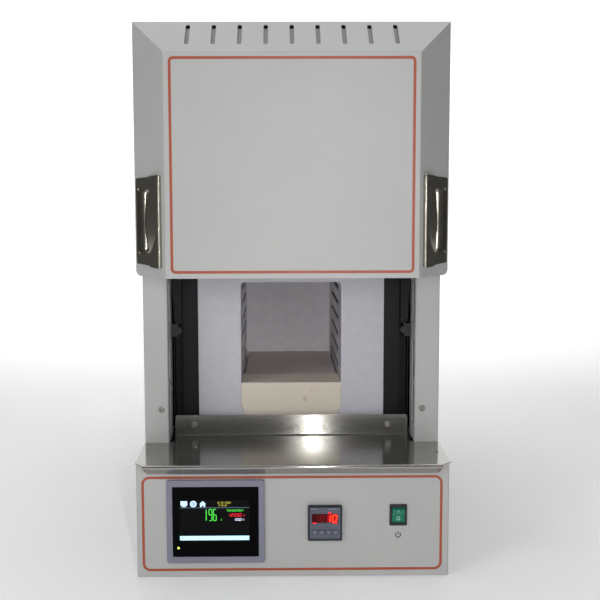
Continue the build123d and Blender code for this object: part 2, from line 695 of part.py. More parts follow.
# Front board with the chamber's mouth; its face stands flush between the flanges.
with BuildPart() as front_board:
    panel_block(-CORE_HALF, CORE_HALF, Y_MOUTH + SHEET, Y_CHAMBER, CORE_LOW, CORE_TOP)
    with BuildSketch(front_plane(Y_MOUTH + SHEET)):
        with Locations((0, (CASING_LOW + CASING_TOP) / 2)):
            Rectangle(2 * FACE_HALF - FIT, CASING_TOP - CASING_LOW - 2 * FLANGE_TALL - FIT)
    extrude(amount=SHEET)
    with BuildSketch(front_plane(Y_MOUTH)) as mouth:
        mouth_outline(CHAMBER_HALF, CHAMBER_TOP)
        fillet(mouth.vertices().sort_by(Axis.Y)[-2:], radius=MOUTH_ROUND)
    extrude(amount=-2 * BOARD, mode=Mode.SUBTRACT)
save(front_board, "front_board")

with BuildPart() as roof_board:
    panel_block(-CORE_HALF, CORE_HALF, Y_CHAMBER, Y_BACK, CHAMBER_TOP, CORE_TOP)
save(roof_board, "roof_board")

with BuildPart() as floor_board:
    panel_block(-CHAMBER_HALF, CHAMBER_HALF, Y_CHAMBER, Y_BACK, CORE_LOW, HEARTH_TOP - PLATE)
save(floor_board, "floor_board")

with BuildPart() as rear_board:
    panel_block(-CORE_HALF, CORE_HALF, Y_BACK, Y_CASING - SHEET, CORE_LOW, CORE_TOP)
    with BuildSketch(front_plane(Y_CASING)):
        with Locations((0, PROBE_Z)):
            Circle(PROBE_RADIUS + FIT)
    extrude(amount=2 * REAR_BOARD, mode=Mode.SUBTRACT)
save(rear_board, "rear_board")

# Heater panel: saw-tooth grooves, each with a flat ledge and a sloping upper side.
COIL_X = CHAMBER_HALF + GROOVE_DEPTH - COIL_RADIUS - COIL_GAPS[0]
groove_ledges = [GROOVE_FIRST + n * GROOVE_PITCH for n in range(GROOVE_COUNT)]
with BuildPart() as heater_panel:
    panel_block(CHAMBER_HALF, CORE_HALF, Y_CHAMBER, Y_BACK, CORE_LOW, CHAMBER_TOP)
    with BuildSketch(front_plane(Y_CHAMBER)):
        for ledge_z in groove_ledges:
            with BuildLine():
                Polyline(
                    (CHAMBER_HALF - OVERCUT, ledge_z),
                    (CHAMBER_HALF + GROOVE_DEPTH, ledge_z),
                    (CHAMBER_HALF + GROOVE_DEPTH, ledge_z + GROOVE_INNER),
                    (CHAMBER_HALF, ledge_z + GROOVE_MOUTH),
                    (CHAMBER_HALF - OVERCUT, ledge_z + GROOVE_MOUTH),
                    close=True,
                )
            make_face()
    extrude(amount=-(Y_BACK - Y_CHAMBER), mode=Mode.SUBTRACT)
    # joined by upright pockets where the element turns from one groove to the next
    for n in range(GROOVE_COUNT - 1):
        y_mid = Y_BACK - RELIEF / 2 if n % 2 == 0 else Y_CHAMBER + RELIEF / 2
        with BuildSketch(side_plane(CHAMBER_HALF - OVERCUT)):
            with Locations((y_mid, groove_ledges[n] + (GROOVE_PITCH + GROOVE_MOUTH) / 2)):
                Rectangle(RELIEF, GROOVE_PITCH + GROOVE_MOUTH - GROOVE_INNER)
        extrude(amount=GROOVE_DEPTH + OVERCUT, mode=Mode.SUBTRACT)
save_pair(heater_panel, "heater_panel")

# Heating element: one rod that snakes along the grooves.
rod_z = [z + COIL_RADIUS + COIL_GAPS[1] for z in groove_ledges]
y_near = Y_CHAMBER + COIL_RADIUS + COIL_GAPS[2]
y_far = Y_BACK - COIL_RADIUS - COIL_GAPS[2]
snake = []
for n, z in enumerate(rod_z):
    ends = [(COIL_X, y_near, z), (COIL_X, y_far, z)]
    snake += ends if n % 2 == 0 else ends[::-1]
with BuildPart() as element:
    with BuildLine() as route:
        FilletPolyline(*snake, radius=COIL_TURN)
    with BuildSketch(Plane(origin=snake[0], z_dir=(0, 1, 0))):
        Circle(COIL_RADIUS)
    sweep()
save_pair(element, "heating_element")

with BuildPart() as hearth_plug:
    with BuildSketch(front_plane(Y_MOUTH)):
        mouth_outline(CHAMBER_HALF - FIT, HEARTH_TOP)
    extrude(amount=-BOARD)
save(hearth_plug, "hearth_plug")

with BuildPart() as hearth_plate:
    plate_half = CHAMBER_HALF - PLATE_GAP
    panel_block(-plate_half, plate_half, Y_CHAMBER, Y_BACK - FIT, HEARTH_TOP - PLATE, HEARTH_TOP)
    fillet(hearth_plate.edges().filter_by(Axis.Z), radius=PLATE_ROUND)
save(hearth_plate, "hearth_plate")

# Thermocouple: ceramic sheath into the chamber, connection head behind the casing.
with BuildPart() as thermocouple:
    with BuildSketch(front_plane(Y_BACK - PROBE_REACH)):
        with Locations((0, PROBE_Z)):
            Circle(PROBE_RADIUS)
    extrude(amount=-(Y_CASING - Y_BACK + PROBE_REACH))
    fillet(thermocouple.faces().sort_by(Axis.Y)[0].edges(), radius=PROBE_RADIUS * 0.9)
    with BuildSketch(front_plane(Y_CASING)):
        with Locations((0, PROBE_Z)):
            Circle(PROBE_HEAD[0])
    extrude(amount=-PROBE_HEAD[1])
save(thermocouple, "thermocouple")

# ================= door =================

# Shell: flat face, bevels at the sides and the top, open at the back.
with BuildPart() as door_shell:
    with BuildSketch(Plane.XY.offset(DOOR_LOW)):
        with BuildLine():
            Polyline(
                (-HALF, Y_DOOR_BACK),
                (-HALF, Y_BEVEL),
                (-DOOR_FACE_HALF, Y_FACE),
                (DOOR_FACE_HALF, Y_FACE),
                (HALF, Y_BEVEL),
                (HALF, Y_DOOR_BACK),
                close=True,
            )
        make_face()
    extrude(amount=DOOR_TOP - DOOR_LOW)
    with BuildSketch(side_plane(0)):
        with BuildLine():
            Polyline(
                (Y_FACE, DOOR_FACE_TOP),
                (Y_BEVEL, DOOR_TOP),
                (Y_FACE, DOOR_TOP),
                close=True,
            )
        make_face()
    extrude(amount=HALF, both=True, mode=Mode.SUBTRACT)
    low_sides = door_shell.edges().filter_by(Axis.Y).group_by(Axis.Z)[0]
    fillet(low_sides, radius=DOOR_LOW_ROUND)
    bends = door_shell.edges().filter_by(Axis.Z).group_by(Axis.Y)[0]
    bends += door_shell.faces().sort_by(Axis.Y)[0].edges().sort_by(Axis.Z)[-1:]
    fillet(bends, radius=BEND)
    offset(amount=-SHEET, openings=door_shell.faces().sort_by(Axis.Y)[-1])
    bevel_mid = (0, (Y_FACE + Y_BEVEL) / 2, (DOOR_FACE_TOP + DOOR_TOP) / 2)
    bevel_up = (0, -(DOOR_TOP - DOOR_FACE_TOP), BEVEL_DEPTH)
    with BuildSketch(Plane(origin=bevel_mid, x_dir=(1, 0, 0), z_dir=bevel_up)):
        with Locations((0, VENT_RAISE)):
            with GridLocations(VENT_PITCH, 1, VENT_COUNT, 1):
                SlotOverall(VENT_LENGTH, VENT_WIDTH, rotation=90)
    extrude(amount=3 * SHEET, both=True, mode=Mode.SUBTRACT)
    for side in (-1, 1):
        with BuildSketch(bevel_plane(side)):
            with Locations((sum(DISH_EDGES) / 2, 0)):
                margin = 2 * DISH_WALL + FIT
                Rectangle(DISH_EDGES[1] - DISH_EDGES[0] + margin, DISH_TALL + margin)
        extrude(amount=3 * SHEET, both=True, mode=Mode.SUBTRACT)
save(door_shell, "door_shell")

# Baffle: folded strip under the vent slots, spot-welded to the face's inner side.
baffle_slope = BEVEL_TALL / BEVEL_DEPTH
y_baffle = Y_FACE + SHEET + BAFFLE_SHEET
with BuildPart() as vent_baffle:
    with BuildSketch(side_plane(0)):
        with BuildLine():
            bend_z = DOOR_FACE_TOP - BAFFLE_GAP - SHEET + (y_baffle - Y_FACE) * baffle_slope
            end_y = Y_BEVEL - BAFFLE_TRIM
            FilletPolyline(
                (y_baffle, bend_z - BAFFLE_FLANGE),
                (y_baffle, bend_z),
                (end_y, bend_z + (end_y - y_baffle) * baffle_slope),
                radius=BEND,
            )
            offset(amount=BAFFLE_SHEET, side=Side.LEFT)
        make_face()
    extrude(amount=BLOCK_HALF, both=True)
save(vent_baffle, "vent_baffle")


def tapered_outline(edges, talls):
    """Draw a plate on a bevel plane: its two upright edges and the height at each."""
    with BuildLine() as outline:
        Polyline(
            (edges[0], talls[0] / 2),
            (edges[1], talls[1] / 2),
            (edges[1], -talls[1] / 2),
            (edges[0], -talls[0] / 2),
            close=True,
        )
    make_face(outline.edges())


def trough(grow):
    """The pull's hollow, larger by grow on each side: rounded below and at its ends."""
    inner_round, outer_round, end_round = DISH_ROUNDS
    level = Plane(
        origin=(DOOR_FACE_HALF, Y_FACE, PULL_Z - DISH_TALL / 2 - grow),
        x_dir=(BEVEL_WIDE, BEVEL_DEPTH, 0),
        z_dir=(0, 0, -1),
    )
    with BuildPart() as hollow:
        with BuildSketch(level) as section:
            with Locations((sum(DISH_EDGES) / 2, -(DISH_DEPTH + grow) / 2)):
                Rectangle(DISH_EDGES[1] - DISH_EDGES[0] + 2 * grow, DISH_DEPTH + grow)
            low_corners = section.vertices().group_by(Axis.Y)[0].sort_by(Axis.X)
            fillet(low_corners[0], radius=inner_round + grow)
            fillet(section.vertices().sort_by(Axis.X)[-2:].sort_by(Axis.Y)[0], radius=outer_round + grow)
        extrude(amount=-(DISH_TALL + 2 * grow))
        upright = Axis((0, 0, 0), (0, 0, 1))
        for end in (hollow.faces().sort_by(upright)[0], hollow.faces().sort_by(upright)[-1]):
            rim = end.edges().sort_by(Axis(bevel_plane(1).origin, bevel_plane(1).z_dir))[:-1]
            fillet(rim, radius=end_round + grow)
    return hollow.part


def domed_block(edges, talls, rise, radius):
    """Block on the plate whose top swells into a shallow dome at its free edge."""
    base = bevel_plane(1, PULL_PLATE)
    drop = (DOME_RADIUS**2 - DOME_REACH**2) ** 0.5
    centre = bevel_plane(1).from_local_coords((GRIP_EDGES[1] + DOME_SET, 0, GRIP_RISE - drop))
    with BuildPart() as block:
        with Locations(centre):
            Sphere(radius)
        with BuildSketch(base) as outline:
            tapered_outline(edges, talls)
        extrude(amount=3 * GRIP_RISE, mode=Mode.INTERSECT)
        extrude(outline.sketch, amount=rise - PULL_PLATE)
    return block.part


# Recessed pull: plate on the bevel with a pressed hollow behind it.
hollow_outside, hollow_inside = trough(DISH_WALL), trough(0)
with BuildPart() as handle_dish:
    add(hollow_outside)
    with BuildSketch(bevel_plane(1)) as plate_outline:
        tapered_outline(PULL_EDGES, PULL_TALLS)
        fillet(plate_outline.vertices(), radius=PULL_ROUND)
    extrude(amount=PULL_PLATE)
    with BuildSketch(bevel_plane(1, PULL_PLATE)):
        with Locations((sum(DISH_EDGES) / 2, 0)):
            Rectangle(DISH_EDGES[1] - DISH_EDGES[0], DISH_TALL)
    extrude(amount=-PULL_PLATE, mode=Mode.SUBTRACT)
    add(hollow_inside, mode=Mode.SUBTRACT)
save_pair(handle_dish, "handle_dish")

# Grip: a pressed hood over the face side of the hollow; fingers hook behind its free edge.
hood_outside = domed_block(GRIP_EDGES, GRIP_TALLS, GRIP_RISE, DOME_RADIUS)
hood_inside = domed_block(
    (DISH_EDGES[0], DISH_EDGES[1]), (DISH_TALL, DISH_TALL),
    GRIP_RISE - GRIP_SHEET, DOME_RADIUS - GRIP_SHEET,
)
with BuildPart() as handle_grip:
    add(hood_outside)
    fillet(handle_grip.edges().filter_by(Axis.Z).sort_by(Axis.Y)[0], radius=GRIP_ROUND)
    add(hood_inside, mode=Mode.SUBTRACT)
save_pair(handle_grip, "handle_grip")

# Chassis: plate inside the shell's back and a sleeve around the insulation block.
SLEEVE_HALF = BLOCK_HALF + FIT + SHEET
Y_SLEEVE = Y_FRONT + SLEEVE_BACK
with BuildPart() as door_chassis:
    plate_low = DOOR_LOW + SHEET
    with BuildSketch(front_plane(Y_DOOR_BACK)) as chassis_plate:
        with Locations((0, (plate_low + DOOR_TOP - SHEET) / 2)):
            Rectangle(2 * INNER, DOOR_TOP - SHEET - plate_low)
        fillet(chassis_plate.vertices().group_by(Axis.Y)[0], radius=DOOR_LOW_ROUND - SHEET)
    extrude(amount=SHEET)
    with BuildSketch(front_plane(Y_DOOR_BACK - SHEET)):
        with Locations((0, (BLOCK_LOW + BLOCK_TOP) / 2)):
            Rectangle(2 * SLEEVE_HALF, BLOCK_TOP - BLOCK_LOW + 2 * (FIT + SHEET))
    extrude(amount=-(Y_SLEEVE - Y_DOOR_BACK + SHEET))
    with BuildSketch(front_plane(Y_DOOR_BACK - SHEET)):
        with Locations((0, (BLOCK_LOW + BLOCK_TOP) / 2)):
            Rectangle(2 * (BLOCK_HALF + FIT), BLOCK_TOP - BLOCK_LOW + 2 * FIT)
    extrude(amount=-(Y_SLEEVE - Y_DOOR_BACK + SHEET), mode=Mode.SUBTRACT)
    # shelf that closes the cabinet's front gap from above when the door is down
    shelf_back = Y_MOUTH - SEAL_GAP
    with BuildSketch(Plane.XY.offset(DOOR_TOP - SHEET - CHASSIS_DOWN)):
        with Locations((0, (Y_DOOR_BACK + shelf_back) / 2)):
            Rectangle(2 * ARM_HALF, shelf_back - Y_DOOR_BACK)
    extrude(amount=-SHEET)
save(door_chassis, "door_chassis")

# Insulation block: its rear half is the seal face, its front half fills the shell.
with BuildPart() as door_block:
    panel_block(
        -BLOCK_HALF, BLOCK_HALF, Y_FRONT + BLOCK_FRONT, Y_MOUTH - SEAL_GAP, BLOCK_LOW, BLOCK_TOP
    )
    chamfer(door_block.faces().sort_by(Axis.Y)[-1].edges(), length=BLOCK_BEVEL)
save(door_block, "door_block")

# Lift arm: upright bar that narrows to its foot, a cheek to the door, a lug for the strut.
Y_ARM = Y_FRONT + ARM_SET
Y_ARM_BACK = Y_ARM + ARM_THICK
Y_STRUT = Y_FRONT + STRUT_SET
with BuildPart() as lift_arm:
    with BuildSketch(front_plane(Y_ARM)):
        with BuildLine():
            taper_top = (ARM_HALF, ARM_LOW + TAPER_RUN[0])
            taper_mid = (ARM_HALF - ARM_TAPER[1], ARM_LOW + TAPER_RUN[1])
            foot = (ARM_HALF - ARM_TAPER[0], ARM_LOW)
            Polyline(foot, (ARM_IN, ARM_LOW), (ARM_IN, ARM_TOP), (ARM_HALF, ARM_TOP), taper_top)
            Spline(taper_top, taper_mid, foot, tangents=((0, -1), (-0.4, -1)))
        make_face()
    extrude(amount=-ARM_THICK)
    panel_block(ARM_IN, ARM_IN + CHEEK, Y_DOOR_BACK, Y_ARM, CHEEK_LOW, ARM_TOP)
    with BuildSketch(Plane.XY.offset(LUG_LOW)):
        with BuildLine():
            lug_front = Y_POST + RETURN_DEPTH + 2 * FIT
            Polyline(
                (ARM_IN + CHEEK, lug_front),
                (STRUT_X + STRUT_RADIUS, lug_front),
                (STRUT_X + STRUT_RADIUS, Y_STRUT + STRUT_RADIUS),
                (STRUT_X - STRUT_RADIUS, Y_STRUT + STRUT_RADIUS),
                (STRUT_X - STRUT_RADIUS, Y_ARM_BACK),
                (ARM_IN + CHEEK, Y_ARM_BACK),
                close=True,
            )
        make_face()
    extrude(amount=LUG_THICK)
save_pair(lift_arm, "lift_arm")

# Guide shoe: block under the arm with a lip beside the post's return, and its pivot boss.
with BuildPart() as guide_shoe:
    panel_block(
        PIVOT_X, ARM_HALF, Y_ARM - SHEET, Y_ARM_BACK, ARM_LOW - SHOE_HEIGHT, ARM_LOW
    )
    with BuildSketch(front_plane(Y_ARM_BACK)):
        with Locations((PIVOT_X, ARM_LOW - SHOE_HEIGHT / 2)):
            Circle(PIVOT_RADIUS)
    extrude(amount=ARM_THICK + PIVOT_PROUD)
save_pair(guide_shoe, "guide_shoe")

# Guide channel: open to the front, on the casing's side, standing on the base pan.
Y_CHANNEL = Y_FRONT + CHANNEL_SET
CHANNEL_X = CASING_HALF + CHANNEL_WIDTH / 2
with BuildPart() as guide_channel:
    panel_block(
        CASING_HALF, CASING_HALF + CHANNEL_WIDTH, Y_CHANNEL, Y_CHANNEL + CHANNEL_DEPTH,
        FLOOR, CHANNEL_TOP,
    )
    with BuildSketch(Plane.XY.offset(FLOOR)):
        with Locations((CHANNEL_X, Y_CHANNEL + (CHANNEL_DEPTH - SHEET) / 2)):
            Rectangle(CHANNEL_WIDTH - 2 * SHEET, CHANNEL_DEPTH - SHEET)
    extrude(amount=CHANNEL_TOP, mode=Mode.SUBTRACT)
save_pair(guide_channel, "guide_channel")

# Slider: runs in the channel and is fixed to the back of the arm.
with BuildPart() as slider:
    slider_half = CHANNEL_WIDTH / 2 - SHEET - FIT
    panel_block(
        CHANNEL_X - slider_half, CHANNEL_X + slider_half, Y_ARM_BACK,
        Y_CHANNEL + CHANNEL_DEPTH - SHEET - FIT, SLIDER_LOW, SLIDER_LOW + SLIDER_TALL,
    )
    fillet(slider.faces().sort_by(Axis.Y)[-1].edges().filter_by(Axis.X), radius=SLIDER_ROUND)
save_pair(slider, "slider")

# Counterbalance strut: hollow cylinder on the base pan, rod under the arm's lug.
with BuildPart() as strut_cylinder:
    with BuildSketch(Plane.XY.offset(FLOOR)):
        with Locations((STRUT_X, Y_STRUT)):
            Circle(STRUT_RADIUS)
    extrude(amount=STRUT_TOP - FLOOR)
    fillet(strut_cylinder.edges().sort_by(Axis.Z)[-1], radius=STRUT_ROUND)
    with BuildSketch(Plane.XY.offset(FLOOR + 2 * SHEET)):
        with Locations((STRUT_X, Y_STRUT)):
            Circle(ROD_RADIUS + FIT)
    extrude(amount=STRUT_TOP, mode=Mode.SUBTRACT)
save_pair(strut_cylinder, "strut_cylinder")

with BuildPart() as strut_rod:
    with BuildSketch(Plane.XY.offset(ROD_LOW)):
        with Locations((STRUT_X, Y_STRUT)):
            Circle(ROD_RADIUS)
    extrude(amount=LUG_LOW - ROD_LOW)
save_pair(strut_rod, "strut_rod")
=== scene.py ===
# %% [markdown]
# # A benchtop muffle furnace, dressed in Blender
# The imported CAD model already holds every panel, board and moving part at its real size. This
# notebook gives each of them the finish of the real furnace, and adds what is too fine for CAD:
# printed outlines, screw heads, the coiled heating wire, the display and the switch marks.
# Everything is in metres; sizes are written in millimetres and multiplied by MM.

# %% Load the frame
from math import atan, cos, pi, radians, sin

import bmesh
import bpy
from mathutils import Matrix, Vector


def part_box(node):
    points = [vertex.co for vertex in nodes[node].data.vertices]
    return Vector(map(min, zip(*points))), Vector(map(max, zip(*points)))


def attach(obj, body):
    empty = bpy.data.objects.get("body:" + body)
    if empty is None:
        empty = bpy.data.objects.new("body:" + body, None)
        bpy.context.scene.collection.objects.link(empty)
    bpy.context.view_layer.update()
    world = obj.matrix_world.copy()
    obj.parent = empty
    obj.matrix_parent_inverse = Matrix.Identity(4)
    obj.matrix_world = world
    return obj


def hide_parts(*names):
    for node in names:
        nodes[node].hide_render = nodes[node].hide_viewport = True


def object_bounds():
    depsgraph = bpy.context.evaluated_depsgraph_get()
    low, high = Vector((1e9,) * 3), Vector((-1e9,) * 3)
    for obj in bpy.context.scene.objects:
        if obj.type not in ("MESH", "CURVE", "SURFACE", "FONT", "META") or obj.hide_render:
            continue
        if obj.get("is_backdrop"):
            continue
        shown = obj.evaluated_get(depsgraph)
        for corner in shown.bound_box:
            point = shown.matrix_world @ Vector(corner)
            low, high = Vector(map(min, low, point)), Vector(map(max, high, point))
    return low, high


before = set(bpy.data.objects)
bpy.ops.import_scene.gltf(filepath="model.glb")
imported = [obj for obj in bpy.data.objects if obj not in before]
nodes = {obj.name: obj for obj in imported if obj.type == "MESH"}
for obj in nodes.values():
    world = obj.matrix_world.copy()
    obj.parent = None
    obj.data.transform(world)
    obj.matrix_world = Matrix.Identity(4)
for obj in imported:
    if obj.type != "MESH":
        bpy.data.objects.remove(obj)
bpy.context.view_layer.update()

MM = 0.001

# %% [markdown]
# The faces of the panels set where every mark and screw goes. Most are read from the CAD boxes, so
# a printed line always lies on the panel that carries it. The posts and the ledge's upstand are
# folds inside larger pieces, so their faces are measured back from the console instead.

# %% Reference planes
POST_SET_MM, UPSTAND_SET_MM = 102.6, 148.8  # behind the console's face
CONSOLE_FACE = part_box("console_front")[0].y
DOOR_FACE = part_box("door_shell")[0].y
POST_FACE = CONSOLE_FACE + POST_SET_MM * MM
UPSTAND_FACE = CONSOLE_FACE + UPSTAND_SET_MM * MM
REAR_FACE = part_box("rear_panel")[1].y
GLASS_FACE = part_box("screen_glass")[0].y
LENS_LOW, LENS_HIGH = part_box("controller_lens")
print("console face", round(CONSOLE_FACE, 4), "door face", round(DOOR_FACE, 4))

# %% [markdown]
# ## Camera and studio
# The camera stands a little left of the middle and above the door's lower edge, and looks down by
# about six degrees with a long lens, so uprights stay almost parallel. The small shift puts the
# view's vanishing point where the framing needs it. Angles are in radians.

# %% Camera
EYE = Vector((-19.9 * MM, CONSOLE_FACE - 1.3747, 0.5453))
YAW, PITCH, ROLL = 0.0104, 0.1024, -0.0025
FOCAL_MM = 60.43
SHIFT = (0.0192, -0.0132)


def camera_axes(yaw, pitch, roll):
    """Right, up and backward directions of a camera turned by these small angles."""
    ahead = Vector((sin(yaw), cos(yaw), 0))
    right = Vector((cos(yaw), -sin(yaw), 0))
    forward = ahead * cos(pitch) - Vector((0, 0, sin(pitch)))
    up = ahead * sin(pitch) + Vector((0, 0, cos(pitch)))
    return right * cos(roll) + up * sin(roll), up * cos(roll) - right * sin(roll), -forward


lens = bpy.data.cameras.new("camera")
lens.lens = FOCAL_MM
lens.sensor_width = 36
lens.shift_x, lens.shift_y = SHIFT
camera = bpy.data.objects.new("camera", lens)
turned = Matrix(camera_axes(YAW, PITCH, ROLL)).transposed().to_4x4()
camera.matrix_world = Matrix.Translation(EYE) @ turned
bpy.context.scene.collection.objects.link(camera)
bpy.context.scene.camera = camera
print("camera at", [round(v, 3) for v in EYE])

# %% [markdown]
# Colours are written as they look on a screen, in hex, and one function turns them into the linear
# values that a shader takes. A second adds a node and fills its inputs, and a third starts a
# material and hands back what its patterns need.

# %% Colours and nodes


def linear(code):
    """An sRGB hex colour as the linear RGBA that a shader takes."""
    parts = [int(code[i:i + 2], 16) / 255 for i in (1, 3, 5)]
    return tuple(p / 12.92 if p <= 0.04045 else ((p + 0.055) / 1.055) ** 2.4 for p in parts) + (1,)


def put(tree, kind, inputs=None, **settings):
    """Add a node with its settings; an input is a value or another node's output."""
    node = tree.nodes.new(kind)
    for name, value in settings.items():
        setattr(node, name, value)
    for name, value in (inputs or {}).items():
        if isinstance(value, bpy.types.NodeSocket):
            tree.links.new(value, node.inputs[name])
        else:
            node.inputs[name].default_value = value
    return node


def start_material(name, colour, roughness, metallic=0.0):
    """A material with a Principled shader, and the object position that its patterns follow."""
    material = bpy.data.materials.new(name)
    material.use_nodes = True
    tree = material.node_tree
    shader = tree.nodes["Principled BSDF"]
    shader.inputs["Base Color"].default_value = linear(colour)
    shader.inputs["Roughness"].default_value = roughness
    shader.inputs["Metallic"].default_value = metallic
    place = put(tree, "ShaderNodeTexCoord").outputs["Object"]
    return material, tree, shader, place


def link(tree, source, shader, name):
    """Feed a named input of the shader."""
    tree.links.new(source, shader.inputs[name])


# %% [markdown]
# The studio is a pale sweep: a floor that curves up into a wall, so the furnace stands on a soft
# shadow with no horizon behind it. The paper glows faintly, a little more away from the furnace,
# and two lamps aimed at the wall burn it out to white. The key stands on the left, which leaves
# the right-hand bevels darker. A large lamp hangs overhead for the upper bevel, and two weak panels
# in front edge the pulls. A narrow strip beside the camera reaches into the chamber and draws the
# upright streaks on the ledge and in the pulls. The dim world keeps steel dark where it reflects
# no lamp. Places and sizes of the lamps are in metres, and their power is in watts.

# %% Floor and backdrop
SWEEP_HALF, SWEEP_FRONT, SWEEP_BACK, SWEEP_HIGH = 2.4, -4.0, 3.2, 6.0
SWEEP_BEND, BEND_STEPS = 1.6, 16
PATCH_HALF = (0.55, 0.62)  # half sizes of the oval under the furnace that glows least
GLOW_NEAR, GLOW_FAR = 0.14, 0.22
profile = [(SWEEP_FRONT, 0.0)]
for step in range(BEND_STEPS + 1):
    turn = step / BEND_STEPS * pi / 2
    profile.append((SWEEP_BACK - SWEEP_BEND + SWEEP_BEND * sin(turn), SWEEP_BEND * (1 - cos(turn))))
profile.append((SWEEP_BACK, SWEEP_HIGH))
sweep_mesh = bpy.data.meshes.new("studio_sweep")
verts = [(x, y, z) for y, z in profile for x in (-SWEEP_HALF, SWEEP_HALF)]
faces = [(2 * i, 2 * i + 1, 2 * i + 3, 2 * i + 2) for i in range(len(profile) - 1)]
sweep_mesh.from_pydata(verts, [], faces)
for face in sweep_mesh.polygons:
    face.use_smooth = True
sweep = bpy.data.objects.new("studio_sweep", sweep_mesh)
bpy.context.scene.collection.objects.link(sweep)
paper, tree, shader, place = start_material("studio paper", "#FAFAFA", 0.9)
shader.inputs["Emission Color"].default_value = linear("#FFFFFF")
away = put(tree, "ShaderNodeVectorMath", {
    0: place, 1: (1 / PATCH_HALF[0], 1 / PATCH_HALF[1], 0),
}, operation="MULTIPLY")
reach = put(tree, "ShaderNodeVectorMath", {0: away.outputs["Vector"]}, operation="LENGTH")
glow_level = put(tree, "ShaderNodeMapRange", {
    "Value": reach.outputs["Value"], "From Min": 0.7, "From Max": 1.6,
    "To Min": GLOW_NEAR, "To Max": GLOW_FAR,
}, interpolation_type="SMOOTHSTEP")
link(tree, glow_level.outputs["Result"], shader, "Emission Strength")
sweep.data.materials.append(paper)
sweep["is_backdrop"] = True
print("laid the sweep,", len(sweep_mesh.polygons), "faces")

# %% Lights


def area_light(name, spot, aim, size, watts):
    """A soft rectangular lamp at spot, turned towards aim."""
    lamp = bpy.data.lights.new(name, "AREA")
    lamp.shape = "RECTANGLE"
    lamp.size, lamp.size_y = size
    lamp.energy = watts
    holder = bpy.data.objects.new(name, lamp)
    holder.location = spot
    holder.rotation_euler = (Vector(aim) - Vector(spot)).to_track_quat("-Z", "Y").to_euler()
    bpy.context.scene.collection.objects.link(holder)


MIDDLE = (0, -0.1, 0.4)
area_light("key", (-1.9, -2.0, 1.6), MIDDLE, (1.2, 1.2), 17)
for side in (-1, 1):
    spot, aim = (side * 1.1, -2.1, 0.3), (0, -0.2, 0.5)
    area_light(f"low_panel_{side}", spot, aim, (1.0, 0.6), 2)
area_light("top", (0, -0.1, 2.6), MIDDLE, (2.4, 2.0), 28)
area_light("front_strip", (0.088, -1.70, 0.60), MIDDLE, (0.018, 0.5), 6)
for side in (-1, 1):
    spot, aim = (side * 1.1, 1.7, 1.7), (side * 0.6, SWEEP_BACK, 0.9)
    area_light(f"backdrop_{side}", spot, aim, (0.7, 0.7), 16)
world = bpy.data.worlds.new("studio")
world.use_nodes = True
sky = world.node_tree.nodes["Background"].inputs
sky["Color"].default_value = linear("#E8EAEE")
sky["Strength"].default_value = 0.05
bpy.context.scene.world = world
bpy.context.scene.view_settings.view_transform = "Standard"
print("studio ready")

# %% [markdown]
# ## Finishes
# Every pattern follows the object's own position, and its scale is the size in millimetres of one
# blotch, wave or grain on the real surface. The four helpers below add the steps that the finishes
# share: a noise of a given size, a change between two colours, a roughness that varies, and relief.

# %% Helpers for finishes


def noise(tree, place, size_mm, detail, **more):
    """A noise whose features are about size_mm across."""
    inputs = {"Vector": place, "Scale": 1 / (size_mm * MM), "Detail": detail, **more}
    return put(tree, "ShaderNodeTexNoise", inputs).outputs["Fac"]


def two_tone(tree, shader, factor, spots, codes):
    """Colour the surface between two hex colours that sit at two spots of a ramp."""
    ramp = put(tree, "ShaderNodeValToRGB", {"Fac": factor})
    for stop, spot, code in zip(ramp.color_ramp.elements, spots, codes):
        stop.position = spot
        stop.color = linear(code)
    link(tree, ramp.outputs["Color"], shader, "Base Color")
    return ramp.outputs["Color"]


def retoned(material, name, codes):
    """A copy of a two-tone material with other colours."""
    copy = material.copy()
    copy.name = name
    for stop, code in zip(copy.node_tree.nodes["Color Ramp"].color_ramp.elements, codes):
        stop.color = linear(code)
    return copy


def uneven_gloss(tree, shader, factor, low, high):
    """Let the roughness run from low to high."""
    level = put(tree, "ShaderNodeMapRange", {"Value": factor, "To Min": low, "To Max": high})
    link(tree, level.outputs["Result"], shader, "Roughness")


def relief(tree, shader, factor, strength, depth_mm):
    """Raise and lower the surface by up to depth_mm."""
    inputs = {"Height": factor, "Strength": strength, "Distance": depth_mm * MM}
    bump = put(tree, "ShaderNodeBump", inputs)
    link(tree, bump.outputs["Normal"], shader, "Normal")
    return bump


# %% [markdown]
# ### Light grey powder coat
# The panels are sprayed with powder and baked. The film melts into very low, soft waves about
# 1.6 mm apart, called orange peel, and stays slightly glossy. A low bump draws the waves, and a
# broad, faint noise keeps large panels from looking printed. The baffle behind the vent slots has
# the same coat, in a darker grey that is painted shade: it stands for the shade behind the slots.

# %% Powder coat
powder, tree, shader, place = start_material("light grey powder coat", "#B8B8B7", 0.42)
waves = noise(tree, place, 1.6, 2.0)
two_tone(tree, shader, noise(tree, place, 110, 3.0), (0.3, 0.75), ("#B5B5B4", "#BABAB9"))
relief(tree, shader, waves, 0.25, 0.05)
# painted shade: the baffle's darker grey stands for the shade that the vent slots leave on it
vent_shade_grey = retoned(powder, "dark grey powder coat inside the vents", ("#7B7B7A", "#828281"))
print("made", powder.name, "and", vent_shade_grey.name)

# %% [markdown]
# ### Black paint
# The lift gear and the chamber's casing are painted black. Thin paint over hot-rolled steel keeps
# a fine grain and looks grey where light grazes it.

# %% Black paint
black, tree, shader, place = start_material("black paint on steel", "#0D0E11", 0.42)
grain = noise(tree, place, 0.9, 3.0)
uneven_gloss(tree, shader, grain, 0.4, 0.62)
relief(tree, shader, grain, 0.3, 0.04)
shader.inputs["Specular IOR Level"].default_value = 0.25
print("made", black.name)

